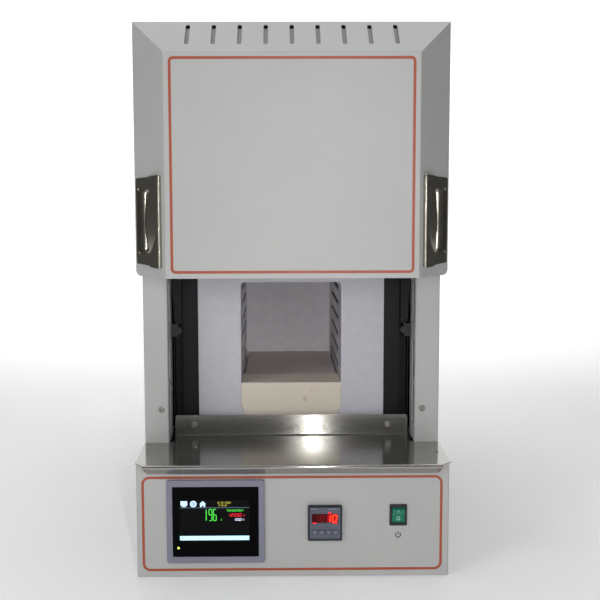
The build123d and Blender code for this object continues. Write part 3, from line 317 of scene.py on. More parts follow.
# %% [markdown]
# ### Brushed stainless steel
# The ledge is folded from sheet brushed from side to side. Each scratch is far finer than a pixel,
# so streaks 0.5 mm apart and 60 mm long stand in for bundles of them, and vary the gloss and the
# relief. The shader's tangent lies across the scratches, which smears a lamp into an upright bar.

# %% Brushed steel
STREAK_MM, STREAK_LONG_MM = 0.5, 60.0
brushed, tree, shader, place = start_material("brushed stainless steel", "#A5A39E", 0.22, 0.82)
stretch = put(tree, "ShaderNodeMapping", {
    "Vector": place,
    "Scale": (1 / (STREAK_LONG_MM * MM), 1 / (STREAK_MM * MM), 1 / (STREAK_MM * MM)),
})
along = {"Vector": stretch.outputs["Vector"], "Scale": 1.0, "Detail": 4.0}
streaks = put(tree, "ShaderNodeTexNoise", along).outputs["Fac"]
uneven_gloss(tree, shader, streaks, 0.1, 0.22)
relief(tree, shader, streaks, 0.15, 0.02)
shader.inputs["Anisotropic"].default_value = 0.95
facing = put(tree, "ShaderNodeNewGeometry").outputs["Normal"]
across = put(tree, "ShaderNodeVectorMath", {0: facing, 1: (1, 0, 0)}, operation="CROSS_PRODUCT")
link(tree, across.outputs["Vector"], shader, "Tangent")
print("made", brushed.name)

# %% [markdown]
# ### Polished steel
# The pulls are pressed from sheet and buffed, and the strut rods are ground and chromed. Both are
# smooth, with faint patches where hands or seals have dulled them.

# %% Polished steel and chrome
polished, tree, shader, place = start_material("polished stainless steel", "#9A978C", 0.2, 0.86)
uneven_gloss(tree, shader, noise(tree, place, 17, 3.0), 0.15, 0.26)
chrome_rod, tree, shader, place = start_material("hard chromed rod", "#C4C4C8", 0.12, 1.0)
uneven_gloss(tree, shader, noise(tree, place, 1.5, 3.0), 0.08, 0.2)
print("made", polished.name, "and", chrome_rod.name)

# %% [markdown]
# ### Ceramic fibre board
# The white insulation is vacuum-formed from ceramic fibre. It is soft, dead matt and faintly blue,
# with a felted surface of short fibres and a few shallow dents. The chamber's lining is the same
# board, painted paler: painted light that stands for the light filling the chamber.

# %% Fibre board
fibre, tree, shader, place = start_material("ceramic fibre board", "#D3D1D8", 0.95)
felt = noise(tree, place, 1.2, 6.0, Roughness=0.7)
dents = noise(tree, place, 14, 2.0)
two_tone(tree, shader, dents, (0.35, 0.65), ("#D0CED6", "#D5D3D9"))
soft = relief(tree, shader, dents, 0.25, 0.3)
fuzz = relief(tree, shader, felt, 0.4, 0.08)
tree.links.new(soft.outputs["Normal"], fuzz.inputs["Normal"])
# painted light: the lining's paler colours stand for light inside the chamber
chamber_fibre_painted_light = retoned(fibre, "chamber lining fibre", ("#EAE7EC", "#F0EDF1"))
print("made", fibre.name, "and", chamber_fibre_painted_light.name)

# %% [markdown]
# ### Hearth ceramics
# The plug in front is cast refractory: cream, sandy, with a few stains. The plate behind it has
# been fired many times and is a greyer brown. The thermocouple's sheath is a finer ceramic.

# %% Hearth materials


def speckled(name, base, specks, stain, grain_mm, roughness):
    """A sandy ceramic: base colour with darker grains, a few stains and a gritty surface."""
    material, tree, shader, place = start_material(name, base, roughness)
    grains = noise(tree, place, grain_mm, 5.0)
    sand = two_tone(tree, shader, grains, (0.36, 0.56), (specks, base))
    spot = put(tree, "ShaderNodeMapRange", {
        "Value": noise(tree, place, 17, 2.5), "From Min": 0.66, "From Max": 0.74, "To Max": 0.6,
    })
    stained = put(tree, "ShaderNodeMix", {"Factor": spot.outputs["Result"]}, data_type="RGBA")
    colour_a, colour_b, mixed = stained.inputs[6], stained.inputs[7], stained.outputs[2]
    tree.links.new(sand, colour_a)
    colour_b.default_value = linear(stain)
    tree.links.new(mixed, shader.inputs["Base Color"])
    relief(tree, shader, grains, 0.5, 0.2)
    return material


castable = speckled("cream castable refractory", "#EEE5D7", "#E0D5C2", "#CBB088", 0.7, 0.9)
fired = speckled("fired cordierite plate", "#DBD1C9", "#C8BDB5", "#B5A596", 1.2, 0.85)
sheath = speckled("mullite sheath", "#CFC8B8", "#B5AD9B", "#A89C86", 1.0, 0.6)
print("made", castable.name, fired.name, sheath.name, sep=", ")

# %% [markdown]
# ### Plastics, rubber and wire
# The instruments, guides, gland and feet are moulded, and carry the grain of their moulds. The
# rocker is tinted and translucent, and a weak emission stands in for the light that it scatters.
# The glass over the display is nearly black and reflects little.

# %% Small plastics, rubber and wire


def moulded(name, colour, roughness, grain_mm=0.7, relief_mm=0.02):
    """Moulded plastic or rubber: one colour with the fine grain of its mould."""
    material, tree, shader, place = start_material(name, colour, roughness)
    grain = noise(tree, place, grain_mm, 2.0)
    uneven_gloss(tree, shader, grain, roughness - 0.06, roughness + 0.08)
    relief(tree, shader, grain, 0.3, relief_mm)
    return material


nylon = moulded("black nylon", "#141516", 0.5)
rubber = moulded("black rubber", "#161616", 0.85, 1.0, 0.05)
bezel_grey = moulded("lavender grey polycarbonate", "#7F7F91", 0.38)
case_black = moulded("black polycarbonate", "#121317", 0.42)
controller_black = moulded("navy black polycarbonate", "#1B2030", 0.45)
inset_grey = moulded("slate grey acrylic", "#565B69", 0.4)
key_grey = moulded("slate grey silicone keys", "#626673", 0.5)
green_lens = moulded("translucent green polycarbonate", "#0B6A55", 0.2)
scatter_light = green_lens.node_tree.nodes["Principled BSDF"].inputs
scatter_light["Emission Color"].default_value = linear("#0E8F6E")
scatter_light["Emission Strength"].default_value = 0.1
wire = moulded("oxidised resistance wire", "#4A4540", 0.6, 0.5, 0.03)
glass = moulded("black glass over the display", "#030304", 0.08, 30.0, 0.0)
glass.node_tree.nodes["Principled BSDF"].inputs["Specular IOR Level"].default_value = 0.05
print("made the plastics, rubber, wire and glass")

# %% [markdown]
# ## Dress the CAD nodes
# Each finish goes to the pieces that are made of it. The outer sheets are grey, the lift gear and
# the casing are black, and white boards line the chamber.

# %% Dress the nodes
SIDES = ("left", "right")
finishes = {
    powder: [
        "side_panel_left", "side_panel_right", "base_pan", "rear_panel", "top_cover",
        "console_front", "door_shell",
    ],
    vent_shade_grey: ["vent_baffle"],
    black: ["deck_plate", "casing", "door_chassis"],
    chrome_rod: [f"strut_rod_{side}" for side in SIDES],
    polished: [f"handle_{part}_{side}" for part in ("dish", "grip") for side in SIDES],
    brushed: ["ledge"],
    nylon: ["cable_gland"],
    fibre: ["front_board", "floor_board", "door_block"],
    chamber_fibre_painted_light: ["roof_board", "rear_board", "heater_panel_left", "heater_panel_right"],
    castable: ["hearth_plug"],
    fired: ["hearth_plate"],
    sheath: ["thermocouple"],
    wire: [f"heating_element_{side}" for side in SIDES],
    bezel_grey: ["screen_bezel"],
    glass: ["screen_glass"],
    case_black: ["screen_body", "switch_body"],
    controller_black: ["controller_case"],
    inset_grey: ["controller_lens"],
    green_lens: ["rocker"],
    rubber: [f"foot_{n}" for n in range(1, 5)],
    key_grey: [f"controller_key_{n}" for n in range(1, 5)],
}
lift_gear = ("lift_arm", "guide_channel", "strut_cylinder")
finishes[black] += [f"{part}_{side}" for part in lift_gear for side in SIDES]
finishes[nylon] += [f"{part}_{side}" for part in ("guide_shoe", "slider") for side in SIDES]
for material, names in finishes.items():
    for name in names:
        nodes[name].data.materials.clear()
        nodes[name].data.materials.append(material)
print("dressed", sum(map(len, finishes.values())), "of", len(nodes), "nodes")

# %% [markdown]
# ## Printed and lit details
# Ink and glowing segments are too fine for the CAD model. They are built here as thin closed meshes
# that stand about a tenth of a millimetre off the panel that carries them, so they never flicker
# against it. One helper turns flat outlines into such slabs.

# %% Helpers for flat marks
INK_MM = 0.1  # front of a mark, before its panel
SUNK_MM = 0.05  # back of a mark, inside its panel


def new_object(name, mesh, material, body):
    """Link a mesh, give it its material, and let it ride a CAD body."""
    thing = bpy.data.objects.new(name, mesh)
    bpy.context.scene.collection.objects.link(thing)
    mesh.materials.append(material)
    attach(thing, body)
    return thing


def slabs(name, outlines, face, material, body, lift=INK_MM, turn=None):
    """Closed slabs on a panel at depth face, from outlines of (x, z) in millimetres."""
    shape = bmesh.new()
    for outline in outlines:
        front = [shape.verts.new((x * MM, face - lift * MM, z * MM)) for x, z in outline]
        back = [shape.verts.new((x * MM, face + SUNK_MM * MM, z * MM)) for x, z in outline]
        shape.faces.new(front)
        shape.faces.new(back[::-1])
        for i in range(len(outline)):
            j = (i + 1) % len(outline)
            shape.faces.new((front[j], front[i], back[i], back[j]))
    if turn:
        bmesh.ops.transform(shape, matrix=turn, verts=shape.verts)
    bmesh.ops.recalc_face_normals(shape, faces=shape.faces)
    mesh = bpy.data.meshes.new(name)
    shape.to_mesh(mesh)
    shape.free()
    return new_object(name, mesh, material, body)


def rounded_box(x, z, wide, tall, radius, steps=8):
    """Points around a rounded rectangle, anticlockwise."""
    points = []
    for quarter, (sx, sz) in enumerate(((1, 1), (-1, 1), (-1, -1), (1, -1))):
        for step in range(steps + 1):
            angle = (quarter + step / steps) * pi / 2
            points.append((
                x + sx * (wide / 2 - radius) + radius * cos(angle),
                z + sz * (tall / 2 - radius) + radius * sin(angle),
            ))
    return points


def disc(x, z, radius, steps=24):
    """Points around a circle, anticlockwise."""
    turns = [2 * pi * i / steps for i in range(steps)]
    return [(x + radius * cos(turn), z + radius * sin(turn)) for turn in turns]


def bar(x0, z0, x1, z1):
    """An upright rectangle between two corners."""
    return [(x0, z0), (x1, z0), (x1, z1), (x0, z1)]


def ring_outlines(outer, inner):
    """A closed band between two loops of equal length, as four-sided outlines."""
    count = len(outer)
    return [
        [outer[i], outer[(i + 1) % count], inner[(i + 1) % count], inner[i]] for i in range(count)
    ]


def glow(name, colour, strength, speck_mm=0.4):
    """A lit display mark: emission that varies a little from pixel to pixel."""
    material, tree, shader, place = start_material(name, colour, 0.4)
    shader.inputs["Specular IOR Level"].default_value = 0.08
    shader.inputs["Emission Color"].default_value = linear(colour)
    level = put(tree, "ShaderNodeMapRange", {
        "Value": noise(tree, place, speck_mm, 1.0),
        "To Min": strength * 0.85, "To Max": strength * 1.1,
    })
    link(tree, level.outputs["Result"], shader, "Emission Strength")
    return material


# %% [markdown]
# ### Orange outline on the console and on the door
# Both panels carry a screen-printed line with round corners. The ink sits on the powder coat, is a
# little glossier than it, and is slightly uneven along the line where the squeegee lifted.

# %% Orange outlines
ink, tree, shader, place = start_material("burnt orange screen ink", "#A1492F", 0.38)
two_tone(tree, shader, noise(tree, place, 11, 5.0), (0.3, 0.7), ("#A04528", "#AE5130"))


def outline_band(name, low, high, line, radius, face, body):
    """A printed band of one line width along the inside of the box from low to high."""
    middle = ((low[0] + high[0]) / 2, (low[1] + high[1]) / 2)
    wide, tall = high[0] - low[0], high[1] - low[1]
    outer = rounded_box(*middle, wide, tall, radius)
    inner = rounded_box(*middle, wide - 2 * line, tall - 2 * line, radius - line)
    return slabs(name, ring_outlines(outer, inner), face, ink, body)


outline_band("console_outline", (-212, 9), (210, 145.7), 3.6, 11, CONSOLE_FACE, "cabinet")
outline_band("door_outline", (-165, 431), (165, 720), 3.8, 6.5, DOOR_FACE, "door")
print("printed two outlines")

# %% [markdown]
# ### Numbers on the displays
# Each digit is made of seven bars with pointed ends and a slight slant, as on a real segment
# display. The touch screen draws its numbers the same way, only finer.

# %% Seven-segment digits
SEGMENTS = {
    "0": "abcdef", "1": "bc", "2": "abged", "3": "abgcd", "4": "fgbc",
    "5": "afgcd", "6": "afgedc", "7": "abc", "8": "abcdefg", "9": "abcdfg", "-": "g",
}


def segment_outlines(text, x, z, tall, thick, pitch=0.72, wide=0.5, slant=0.08, dim=False):
    """Outlines of a number whose lower left corner is at x, z.

    pitch and wide are shares of the height; dim gives the unlit segments instead of the lit ones.
    """
    wide = tall * wide
    gap, half = thick * 0.12, thick / 2
    ends = {
        "a": ((0, 2), (1, 2)), "b": ((1, 2), (1, 1)), "c": ((1, 1), (1, 0)), "d": ((0, 0), (1, 0)),
        "e": ((0, 1), (0, 0)), "f": ((0, 2), (0, 1)), "g": ((0, 1), (1, 1)),
    }
    outlines = []
    for place_no, sign in enumerate(text.replace(".", "")):
        x_left = x + place_no * tall * pitch
        lit = SEGMENTS.get(sign, "")
        for key, (start, stop) in ends.items():
            if (key in lit) == dim:
                continue
            x0, z0 = start[0] * wide, start[1] * tall / 2
            x1, z1 = stop[0] * wide, stop[1] * tall / 2
            if z0 == z1:
                x0, x1 = x0 + gap, x1 - gap
                loop = [(x0, z0), (x0 + half, z0 + half), (x1 - half, z0 + half), (x1, z0),
                        (x1 - half, z0 - half), (x0 + half, z0 - half)]
            else:
                low, high = min(z0, z1) + gap, max(z0, z1) - gap
                loop = [(x0, low), (x0 + half, low + half), (x0 + half, high - half), (x0, high),
                        (x0 - half, high - half), (x0 - half, low + half)]
            outlines.append([(x_left + px + pz * slant, z + pz) for px, pz in loop])
    if "." in text and not dim:
        dot_x = x + text.index(".") * tall * pitch - (tall * pitch - wide) / 2
        outlines.append(bar(dot_x - half, z - half, dot_x + half, z + half))
    return outlines


# %% [markdown]
# ### The touch screen
# Under the black glass a small colour display shows three pale icons at the upper left, the date
# and time in yellow, the chamber temperature in large green figures, the set point in red and the
# power in white, and a pale bar across the foot. A row of small figures stands in for a heading.
# A yellow green lamp glows at the lower left of the glass.

# %% Touch screen picture
LCD_LOW, LCD_HIGH = (-158.4, 52.2), (-61.2, 112.6)
lcd_black = glow("display background", "#060708", 0.2, 3.0)
icon_blue = glow("pale blue icons", "#B9DAF2", 0.9)
rule_blue = glow("blue rule", "#5E6C80", 0.6)
digit_green = glow("green figures", "#4FDB4C", 0.75)
digit_red = glow("red figures", "#E02430", 0.9)
digit_white = glow("white figures", "#DCE4FA", 0.9)
digit_yellow = glow("yellow figures", "#B9B442", 0.6)
bar_cyan = glow("pale cyan bar", "#B4ECFA", 0.95)
lamp_green = glow("status lamp", "#D6E064", 1.2)


def on_screen(name, outlines, material, lift=INK_MM):
    """Lit marks on the screen's glass."""
    return slabs(name, outlines, GLASS_FACE, material, "cabinet", lift)


on_screen("display_field", [bar(*LCD_LOW, *LCD_HIGH)], lcd_black, 0.05)
monitor = [
    rounded_box(-152.6, 107.9, 9.4, 6.4, 0.7, 3), bar(-153.8, 103.6, -151.4, 104.8),
    bar(-155.8, 102.8, -149.4, 103.7),
]
house = [
    [(-131.0, 106.9), (-121.8, 106.9), (-126.4, 111.4)], bar(-130.0, 102.6, -127.6, 107.0),
    bar(-125.2, 102.6, -122.8, 107.0), bar(-127.7, 104.8, -125.1, 107.0),
]
dial_outer, dial_inner = disc(-139.5, 107.0, 4.6), disc(-139.5, 107.0, 2.4)
dial = ring_outlines(dial_outer, dial_inner) + [disc(-139.5, 107.0, 1.5, 12)]
on_screen("display_icons", monitor + house + dial, icon_blue)
on_screen("display_rule", [bar(LCD_LOW[0], 101.2, LCD_HIGH[0], 101.9)], rule_blue)
# each row: text, left, foot, height, line, then pitch, width and slant
figure_rows = {
    "display_clock": (digit_yellow, [
        ("01-01-2000", -105.4, 107.4, 2.5, 0.5, 0.74),
        ("12-00-00", -105.4, 103.8, 2.1, 0.42, 0.78),
    ]),
    "display_reading": (digit_green, [
        ("1", -125.6, 83.0, 16.2, 1.1, 0.37, 0.25, 0),
        ("96", -117.6, 83.0, 16.2, 1.1, 0.37, 0.25, 0),
        ("0", -101.0, 82.9, 2.2, 0.45),
    ]),
    "display_heading": (digit_green, [("7083650924", -93.6, 96.2, 2.5, 0.6, 1.0, 0.6, 0.0)]),
    "display_setpoint": (digit_red, [
        ("1200.0", -91.2, 89.0, 3.9, 0.9, 1.04, 0.62),
        ("0", -69.2, 89.2, 2.2, 0.5),
    ]),
    "display_power": (digit_white, [
        ("100.0", -83.0, 83.0, 2.9, 0.75, 1.0, 0.6),
        ("0", -70.0, 83.1, 2.0, 0.5),
    ]),
}
for name, (material, rows) in figure_rows.items():
    on_screen(name, [loop for row in rows for loop in segment_outlines(*row)], material)
on_screen("display_bar", [bar(-158.6, 54.8, -61.6, 60.9)], bar_cyan)
on_screen("status_lamp", [disc(-160.9, 43.6, 1.7)], lamp_green)
print("drew the touch screen")

# %% [markdown]
# ### The over-temperature controller
# Four figures sit behind its slate grey front, in a dark red window: the unlit segments stay just
# visible and the lit ones glow orange red, with a red haze around them. The window and the unlit
# segments glow weakly too, a painted glow, though no lamp lights them. Above and below the figures
# are small lamps. A thin inset, cut out around the window and the keys, makes the face one colour.
# It is drawn as bars, and the strip at its foot stays bare. The key signs move with their keys.

# %% Controller marks
LENS_FACE = LENS_LOW.y
CASE_PROUD_MM, KEY_PROUD_MM = 7.0, 1.2  # case before the console, keys before the case
CASE_FACE = CONSOLE_FACE - CASE_PROUD_MM * MM
KEY_FACE = CASE_FACE - KEY_PROUD_MM * MM
# painted glow: the window and the unlit segments give off a little light though they are not lit
window_painted_glow = glow("dark red figure window with a painted glow", "#3A070B", 0.35, 2.0)
unlit_painted_glow = glow("unlit segments", "#7C1018", 0.35)
lit_red = glow("lit segments", "#FF4A1E", 1.5)
lamp_red = glow("red lamps", "#FF2038", 1.0)
halo_red = glow("red glow around the lit figures", "#B40D18", 0.5)
pale_mark = moulded("pale legend ink", "#8D919C", 0.6, 0.3, 0.0)
X_CONTROL, KEY_ROW, KEY_PITCH = 44.75, 66.8, 9.6
KEY_SPOTS = [X_CONTROL + (n - 1.5) * KEY_PITCH for n in range(4)]
KEY_HOLE_HALF = (3.9, 3.2)  # half sizes of the openings in the inset


def on_lens(name, outlines, material, lift):
    """Lit marks on the controller's window."""
    return slabs(name, outlines, LENS_FACE, material, "cabinet", lift)


on_lens("controller_window", [rounded_box(44.5, 86.5, 36.6, 12.6, 0.8, 3)], window_painted_glow, 0.05)
on_lens("controller_halo", [rounded_box(55.4, 86.4, 14.4, 12.0, 2.0, 5)], halo_red, 0.1)
figures = dict(x=29.0, z=81.6, tall=9.4, thick=1.3, pitch=0.92, wide=0.56, slant=0.12)
unlit = segment_outlines("1888", **figures)
on_lens("controller_unlit", [loop for loop in unlit if loop[0][0] < 47.0], unlit_painted_glow, 0.12)
on_lens("controller_lit", segment_outlines("  10", **figures), lit_red, 0.16)
lamps = [rounded_box(51.2, 94.6, 4.0, 1.6, 0.6, 3)]
lamps += [rounded_box(30.0, 79.6, 5.4, 1.5, 0.6, 3), rounded_box(58.8, 79.6, 5.8, 1.5, 0.6, 3)]
on_lens("controller_lamps", lamps, lamp_red, 0.14)

inset_low, inset_high = (23.6, 57.4), (65.9, 101.6)
lens_left, lens_foot = LENS_LOW.x / MM - 0.1, LENS_LOW.z / MM - 0.1
lens_right, lens_head = LENS_HIGH.x / MM + 0.1, LENS_HIGH.z / MM + 0.1
key_low, key_high = KEY_ROW - KEY_HOLE_HALF[1], KEY_ROW + KEY_HOLE_HALF[1]
inset = [
    bar(inset_low[0], lens_head, inset_high[0], inset_high[1]),
    bar(inset_low[0], lens_foot, lens_left, lens_head),
    bar(lens_right, lens_foot, inset_high[0], lens_head),
    bar(inset_low[0], key_high, inset_high[0], lens_foot),
    bar(inset_low[0], inset_low[1], inset_high[0], key_low),
]
hole_sides = [x + reach for x in KEY_SPOTS for reach in (-KEY_HOLE_HALF[0], KEY_HOLE_HALF[0])]
edges = [inset_low[0], *hole_sides, inset_high[0]]
inset += [bar(edges[n], key_low, edges[n + 1], key_high) for n in range(0, len(edges), 2)]
slabs("controller_inset", inset, CASE_FACE, inset_grey, "cabinet", 0.05)
legends = [bar(25.0 + 2.2 * n, 99.2, 26.6 + 2.2 * n, 100.4) for n in range(4)]
legends += [bar(48.4 + 2.2 * n, 99.2, 50.0 + 2.2 * n, 100.4) for n in range(6)]
slabs("controller_legends", legends, CASE_FACE, pale_mark, "cabinet", 0.1)
key_signs = (
    ring_outlines(disc(0, 0, 1.7), disc(0, 0, 1.1)),
    [[(-1.6, -0.9), (1.6, -0.9), (0, 1.5)]],
    [[(0, -1.5), (1.6, 0.9), (-1.6, 0.9)]],
    [bar(-1.7, -1.5, -0.6, 1.5), bar(0.6, -1.5, 1.7, 1.5)],
)
for number, (x, loops) in enumerate(zip(KEY_SPOTS, key_signs), start=1):
    marks = [[(x + px, KEY_ROW + pz) for px, pz in loop] for loop in loops]
    slabs(f"key_mark_{number}", marks, KEY_FACE, pale_mark, f"key_{number}", 0.06)
print("drew the controller")

# %% [markdown]
# ### Rocker marks and the power symbol
# The rocker is moulded with a bar and a ring, the usual signs for on and off. They follow the two
# slopes of its dished front, so they are drawn flat, tilted to the slope and then turned with the
# rocker. Under the switch the panel carries a printed power symbol.

# %% Rocker and power symbol
SWITCH_X, SWITCH_Z = 147.85, 88.95
ROCKER_TURN = radians(6.0)
ROCKER_SLOPE = 3.5 / 10.9  # how far each half leans out, per millimetre of height
ROCKER_FACE = CONSOLE_FACE - 2.0 * MM  # at the fold between its halves
PIVOT = Vector((SWITCH_X * MM, CONSOLE_FACE + 1.0 * MM, SWITCH_Z * MM))
rocker_white = moulded("pale rocker marks", "#A8D8C4", 0.5, 0.3, 0.0)


def rocker_frame(up):
    """Tilt a flat mark about the rocker's middle line, then turn it with the rocker."""
    fold = Vector((SWITCH_X * MM, ROCKER_FACE, SWITCH_Z * MM))
    lean = Matrix.Rotation(up * atan(ROCKER_SLOPE), 4, "X")
    turned = Matrix.Rotation(ROCKER_TURN, 4, "X")
    tilt = Matrix.Translation(fold) @ lean @ Matrix.Translation(-fold)
    return Matrix.Translation(PIVOT) @ turned @ Matrix.Translation(-PIVOT) @ tilt


on_bar = [bar(SWITCH_X - 0.55, SWITCH_Z + 5.0, SWITCH_X + 0.55, SWITCH_Z + 9.2)]
off_ring = ring_outlines(
    disc(SWITCH_X, SWITCH_Z - 4.2, 2.6), disc(SWITCH_X, SWITCH_Z - 4.2, 1.7)
)
for name, marks, up in (("rocker_on", on_bar, 1), ("rocker_off", off_ring, -1)):
    frame_up = rocker_frame(up)
    slabs(name, marks, ROCKER_FACE, rocker_white, "rocker", turn=frame_up)

dark_ink = moulded("black screen ink", "#242320", 0.5, 0.5, 0.0)
SYMBOL_Z, SYMBOL_RADIUS, SYMBOL_LINE = 60.0, 4.2, 1.3
GAP_HALF, ARC_STEPS = 38, 28  # half the gap at the top, in degrees
arc = []
for step in range(ARC_STEPS + 1):
    angle = radians(90 + GAP_HALF + step * (360 - 2 * GAP_HALF) / ARC_STEPS)
    arc.append((cos(angle), sin(angle)))
outer_arc = [(SWITCH_X + SYMBOL_RADIUS * c, SYMBOL_Z + SYMBOL_RADIUS * s) for c, s in arc]
inner_radius = SYMBOL_RADIUS - SYMBOL_LINE
inner_arc = [(SWITCH_X + inner_radius * c, SYMBOL_Z + inner_radius * s) for c, s in arc]
symbol = ring_outlines(outer_arc, inner_arc)[:-1]
half_line = SYMBOL_LINE / 2
symbol.append(bar(SWITCH_X - half_line, SYMBOL_Z + 0.5, SWITCH_X + half_line, SYMBOL_Z + 4.8))
slabs("power_symbol", symbol, CONSOLE_FACE, dark_ink, "cabinet")
print("marked the switch")

# %% [markdown]
# ## Repeated pieces with Geometry Nodes
# ### Screw heads
# The posts, the upstand, the ledge, the top cover and the back are held by pan-head screws of a few
# sizes. One head is turned from its profile, with a cross recess pressed in. A node group sets it
# on every point of a list, turns it a different amount each time as a hand would leave it, and
# realises the copies into one mesh. The heads are low, because the door slides past the posts with
# two millimetres to spare.

# %% Screw head
HEAD_RADIUS_MM, HEAD_RISE_MM, HEAD_SIDES, EDGE_STEPS = 4.6, 1.9, 48, 7
CROSS_HALF, CROSS_REACH, CROSS_DEEP = 0.11, 0.5, 0.55  # shares of the radius and of the rise
screw_steel, tree, shader, place = start_material("zinc plated screw steel", "#9A9893", 0.28, 1.0)
uneven_gloss(tree, shader, noise(tree, place, 0.8, 4.0), 0.18, 0.42)


def screw_head_mesh():
    """A pan head lathed about +Z, its cross recess made by pulling the middle of the crown down."""
    rings = [(0.08, 1.0), (0.16, 1.0), (0.3, 0.99), (0.42, 0.97)]  # reach and height, as shares
    for step in range(1, EDGE_STEPS + 1):
        angle = step / EDGE_STEPS * pi / 2
        rings.append((0.55 + 0.45 * sin(angle), 0.25 + 0.75 * cos(angle) ** 0.7))
    rings.append((1.0, 0.0))
    shape = bmesh.new()
    crown = shape.verts.new((0, 0, (1.0 - CROSS_DEEP) * HEAD_RISE_MM * MM))
    loops = [[crown] * HEAD_SIDES]
    for reach, height in rings:
        loop = []
        for side in range(HEAD_SIDES):
            angle = 2 * pi * side / HEAD_SIDES
            x, y = reach * cos(angle), reach * sin(angle)
            near, far = sorted((abs(x), abs(y)))
            in_cross = near < CROSS_HALF and far < CROSS_REACH
            z = (height - (CROSS_DEEP if in_cross else 0.0)) * HEAD_RISE_MM * MM
            loop.append(shape.verts.new((x * HEAD_RADIUS_MM * MM, y * HEAD_RADIUS_MM * MM, z)))
        loops.append(loop)
    for inner, outer in zip(loops, loops[1:]):
        for side in range(HEAD_SIDES):
            following = (side + 1) % HEAD_SIDES
            corners = (inner[side], outer[side], outer[following], inner[following])
            shape.faces.new(list(dict.fromkeys(corners)))
    shape.faces.new(loops[-1][::-1])
    bmesh.ops.recalc_face_normals(shape, faces=shape.faces)
    mesh = bpy.data.meshes.new("screw_head")
    shape.to_mesh(mesh)
    shape.free()
    return mesh


def group_with(name, sockets):
    """A Geometry Nodes group with these inputs and one geometry output."""
    group = bpy.data.node_groups.new(name, "GeometryNodeTree")
    for label, kind in sockets:
        group.interface.new_socket(label, in_out="INPUT", socket_type=kind)
    group.interface.new_socket("Geometry", in_out="OUTPUT", socket_type="NodeSocketGeometry")
    return group, group.nodes.new("NodeGroupInput"), group.nodes.new("NodeGroupOutput")


def baked(name, group, base, values):
    """Run a group on a base mesh and return the result as a plain mesh without materials."""
    carrier = bpy.data.objects.new(name + "_carrier", base)
    bpy.context.scene.collection.objects.link(carrier)
    modifier = carrier.modifiers.new("nodes", "NODES")
    modifier.node_group = group
    for item in group.interface.items_tree:
        if item.in_out == "INPUT" and item.name in values:
            modifier[item.identifier] = values[item.name]
    bpy.context.view_layer.update()
    evaluated = carrier.evaluated_get(bpy.context.evaluated_depsgraph_get())
    result = bpy.data.meshes.new_from_object(evaluated)
    result.name = name
    bpy.data.objects.remove(carrier)
    result.materials.clear()
    return result


def point_mesh(name, spots):
    """Loose vertices at spots, given in millimetres."""
    mesh = bpy.data.meshes.new(name)
    mesh.from_pydata([[v * MM for v in spot] for spot in spots], [], [])
    return mesh


scatter, ask, give = group_with("set screws on points", (
    ("Geometry", "NodeSocketGeometry"), ("Screw", "NodeSocketObject"),
    ("Facing", "NodeSocketVector"), ("Size", "NodeSocketFloat"), ("Seed", "NodeSocketInt"),
    ("Steel", "NodeSocketMaterial"),
))
screw_in = put(scatter, "GeometryNodeObjectInfo", {"Object": ask.outputs["Screw"]})
spin = put(scatter, "FunctionNodeRandomValue", {"Seed": ask.outputs["Seed"]}, data_type="FLOAT")
spin.inputs[3].default_value = pi / 2  # the largest turn
spun = put(scatter, "ShaderNodeCombineXYZ", {"Z": spin.outputs[1]})
copies = put(scatter, "GeometryNodeInstanceOnPoints", {
    "Points": ask.outputs["Geometry"], "Instance": screw_in.outputs["Geometry"],
    "Rotation": ask.outputs["Facing"], "Scale": ask.outputs["Size"],
})
turned = put(scatter, "GeometryNodeRotateInstances", {
    "Instances": copies.outputs["Instances"], "Rotation": spun.outputs["Vector"],
})
solid = put(scatter, "GeometryNodeRealizeInstances", {"Geometry": turned.outputs["Instances"]})
steel = put(scatter, "GeometryNodeSetMaterial", {
    "Geometry": solid.outputs["Geometry"], "Material": ask.outputs["Steel"],
})
scatter.links.new(steel.outputs["Geometry"], give.inputs["Geometry"])

pattern = bpy.data.objects.new("screw_pattern", screw_head_mesh())
bpy.context.scene.collection.objects.link(pattern)
FACING_FRONT, FACING_UP, FACING_BACK = (pi / 2, 0, 0), (0, 0, 0), (-pi / 2, 0, 0)


def set_screws(name, spots, facing, size, seed):
    """Screw heads on the cabinet at spots in millimetres, all facing one way."""
    mesh = baked(name, scatter, point_mesh(name + "_spots", spots), {
        "Screw": pattern, "Facing": facing, "Size": size, "Seed": seed, "Steel": screw_steel,
    })
    for face in mesh.polygons:
        face.use_smooth = False
    return new_object(name, mesh, screw_steel, "cabinet")


LEDGE_TOP_MM, CABINET_TOP_MM = 167.4, 519.5
post_y, upstand_y, back_y = POST_FACE / MM, UPSTAND_FACE / MM, REAR_FACE / MM
ledge_y = CONSOLE_FACE / MM + 44.5
edge_x, low_z, high_z = 208.0, 22.0, 505.0
post_spots = [(x, post_y, 218.4) for x in (-194.5, 194.5)]
upstand_spots = [(x, upstand_y, 183.6) for x in (-149, 149)]
ledge_spots = [(x, ledge_y, LEDGE_TOP_MM) for x in (-edge_x, edge_x)]
back_spots = [(x, back_y, z) for x in (-edge_x, 0, edge_x) for z in (low_z, high_z)]
back_spots += [(x, back_y, z) for x in (-edge_x, edge_x) for z in (180.0, 340.0)]
top_y = [post_y + 130, 60.0, back_y - 25]
top_spots = [(x, y, CABINET_TOP_MM) for x in (-edge_x, edge_x) for y in top_y]
set_screws("post_screws", post_spots, FACING_FRONT, 1.0, 3)
set_screws("upstand_screws", upstand_spots, FACING_FRONT, 1.2, 5)
set_screws("ledge_screws", ledge_spots, FACING_UP, 0.62, 7)
set_screws("rear_screws", back_spots, FACING_BACK, 0.8, 11)
set_screws("top_screws", top_spots, FACING_UP, 0.8, 13)
bpy.data.objects.remove(pattern)
print("set the screws")

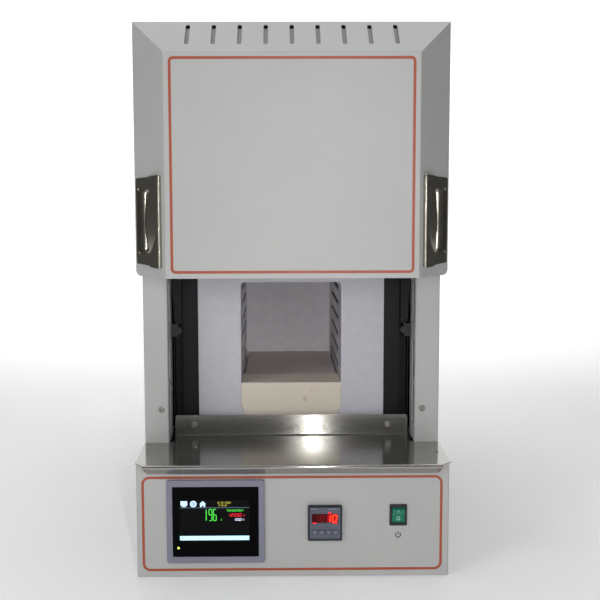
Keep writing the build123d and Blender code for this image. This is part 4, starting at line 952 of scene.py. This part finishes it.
# %% [markdown]
# ### Heating coils
# The element is resistance wire wound into a close coil and laid in the grooves of the side panels.
# A node group winds one coil as a spiral, sweeps a round wire along it, lays it in every groove and
# realises the rows. The coils replace the plain rods of the CAD model and stay inside their box.
# The turns from one groove to the next lie in upright pockets of the panels, and are left out.

# %% Coils
ROWS = 6
WIRE_RADIUS, TURN_PITCH = 0.55 * MM, 2.1 * MM
rod_low, rod_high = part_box("heating_element_right")
COIL_RADIUS = (rod_high.x - rod_low.x) / 2
row_pitch = (rod_high.z - rod_low.z - 2 * COIL_RADIUS) / (ROWS - 1)
coil_long = rod_high.y - rod_low.y - 4 * COIL_RADIUS

winding, ask, give = group_with("wind coils in rows", (
    ("Geometry", "NodeSocketGeometry"), ("Length", "NodeSocketFloat"),
    ("Radius", "NodeSocketFloat"), ("Turns", "NodeSocketFloat"), ("Wire", "NodeSocketFloat"),
    ("Alloy", "NodeSocketMaterial"),
))
spiral = put(winding, "GeometryNodeCurveSpiral", {
    "Resolution": 10, "Rotations": ask.outputs["Turns"], "Start Radius": ask.outputs["Radius"],
    "End Radius": ask.outputs["Radius"], "Height": ask.outputs["Length"],
})
section = put(winding, "GeometryNodeCurvePrimitiveCircle", {
    "Resolution": 5, "Radius": ask.outputs["Wire"],
})
wound = put(winding, "GeometryNodeCurveToMesh", {
    "Curve": spiral.outputs["Curve"], "Profile Curve": section.outputs["Curve"],
    "Fill Caps": True,
})
laid = put(winding, "GeometryNodeInstanceOnPoints", {
    "Points": ask.outputs["Geometry"], "Instance": wound.outputs["Mesh"],
})
laid.inputs["Rotation"].default_value = (-pi / 2, 0, 0)  # from upright to front-to-back
solid = put(winding, "GeometryNodeRealizeInstances", {"Geometry": laid.outputs["Instances"]})
alloy = put(winding, "GeometryNodeSetMaterial", {
    "Geometry": solid.outputs["Geometry"], "Material": ask.outputs["Alloy"],
})
winding.links.new(alloy.outputs["Geometry"], give.inputs["Geometry"])

for side in SIDES:
    low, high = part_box(f"heating_element_{side}")
    axis_x, start_y = (low.x + high.x) / 2, low.y + 2 * COIL_RADIUS
    heights = [low.z + COIL_RADIUS + n * row_pitch for n in range(ROWS)]
    starts = [(axis_x / MM, start_y / MM, height / MM) for height in heights]
    grooves = point_mesh(f"coil_starts_{side}", starts)
    mesh = baked(f"heating_coil_{side}", winding, grooves, {
        "Length": coil_long, "Radius": COIL_RADIUS - WIRE_RADIUS, "Turns": coil_long / TURN_PITCH,
        "Wire": WIRE_RADIUS, "Alloy": wire,
    })
    for face in mesh.polygons:
        face.use_smooth = True
    coil = new_object(f"heating_coil_{side}", mesh, wire, "cabinet")
    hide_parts(f"heating_element_{side}")
    print(coil.name, len(mesh.polygons), "faces")

# %% [markdown]
# The last cell measures the box around the dressed furnace, leaving out the backdrop, and ends
# the scene.

low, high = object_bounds()
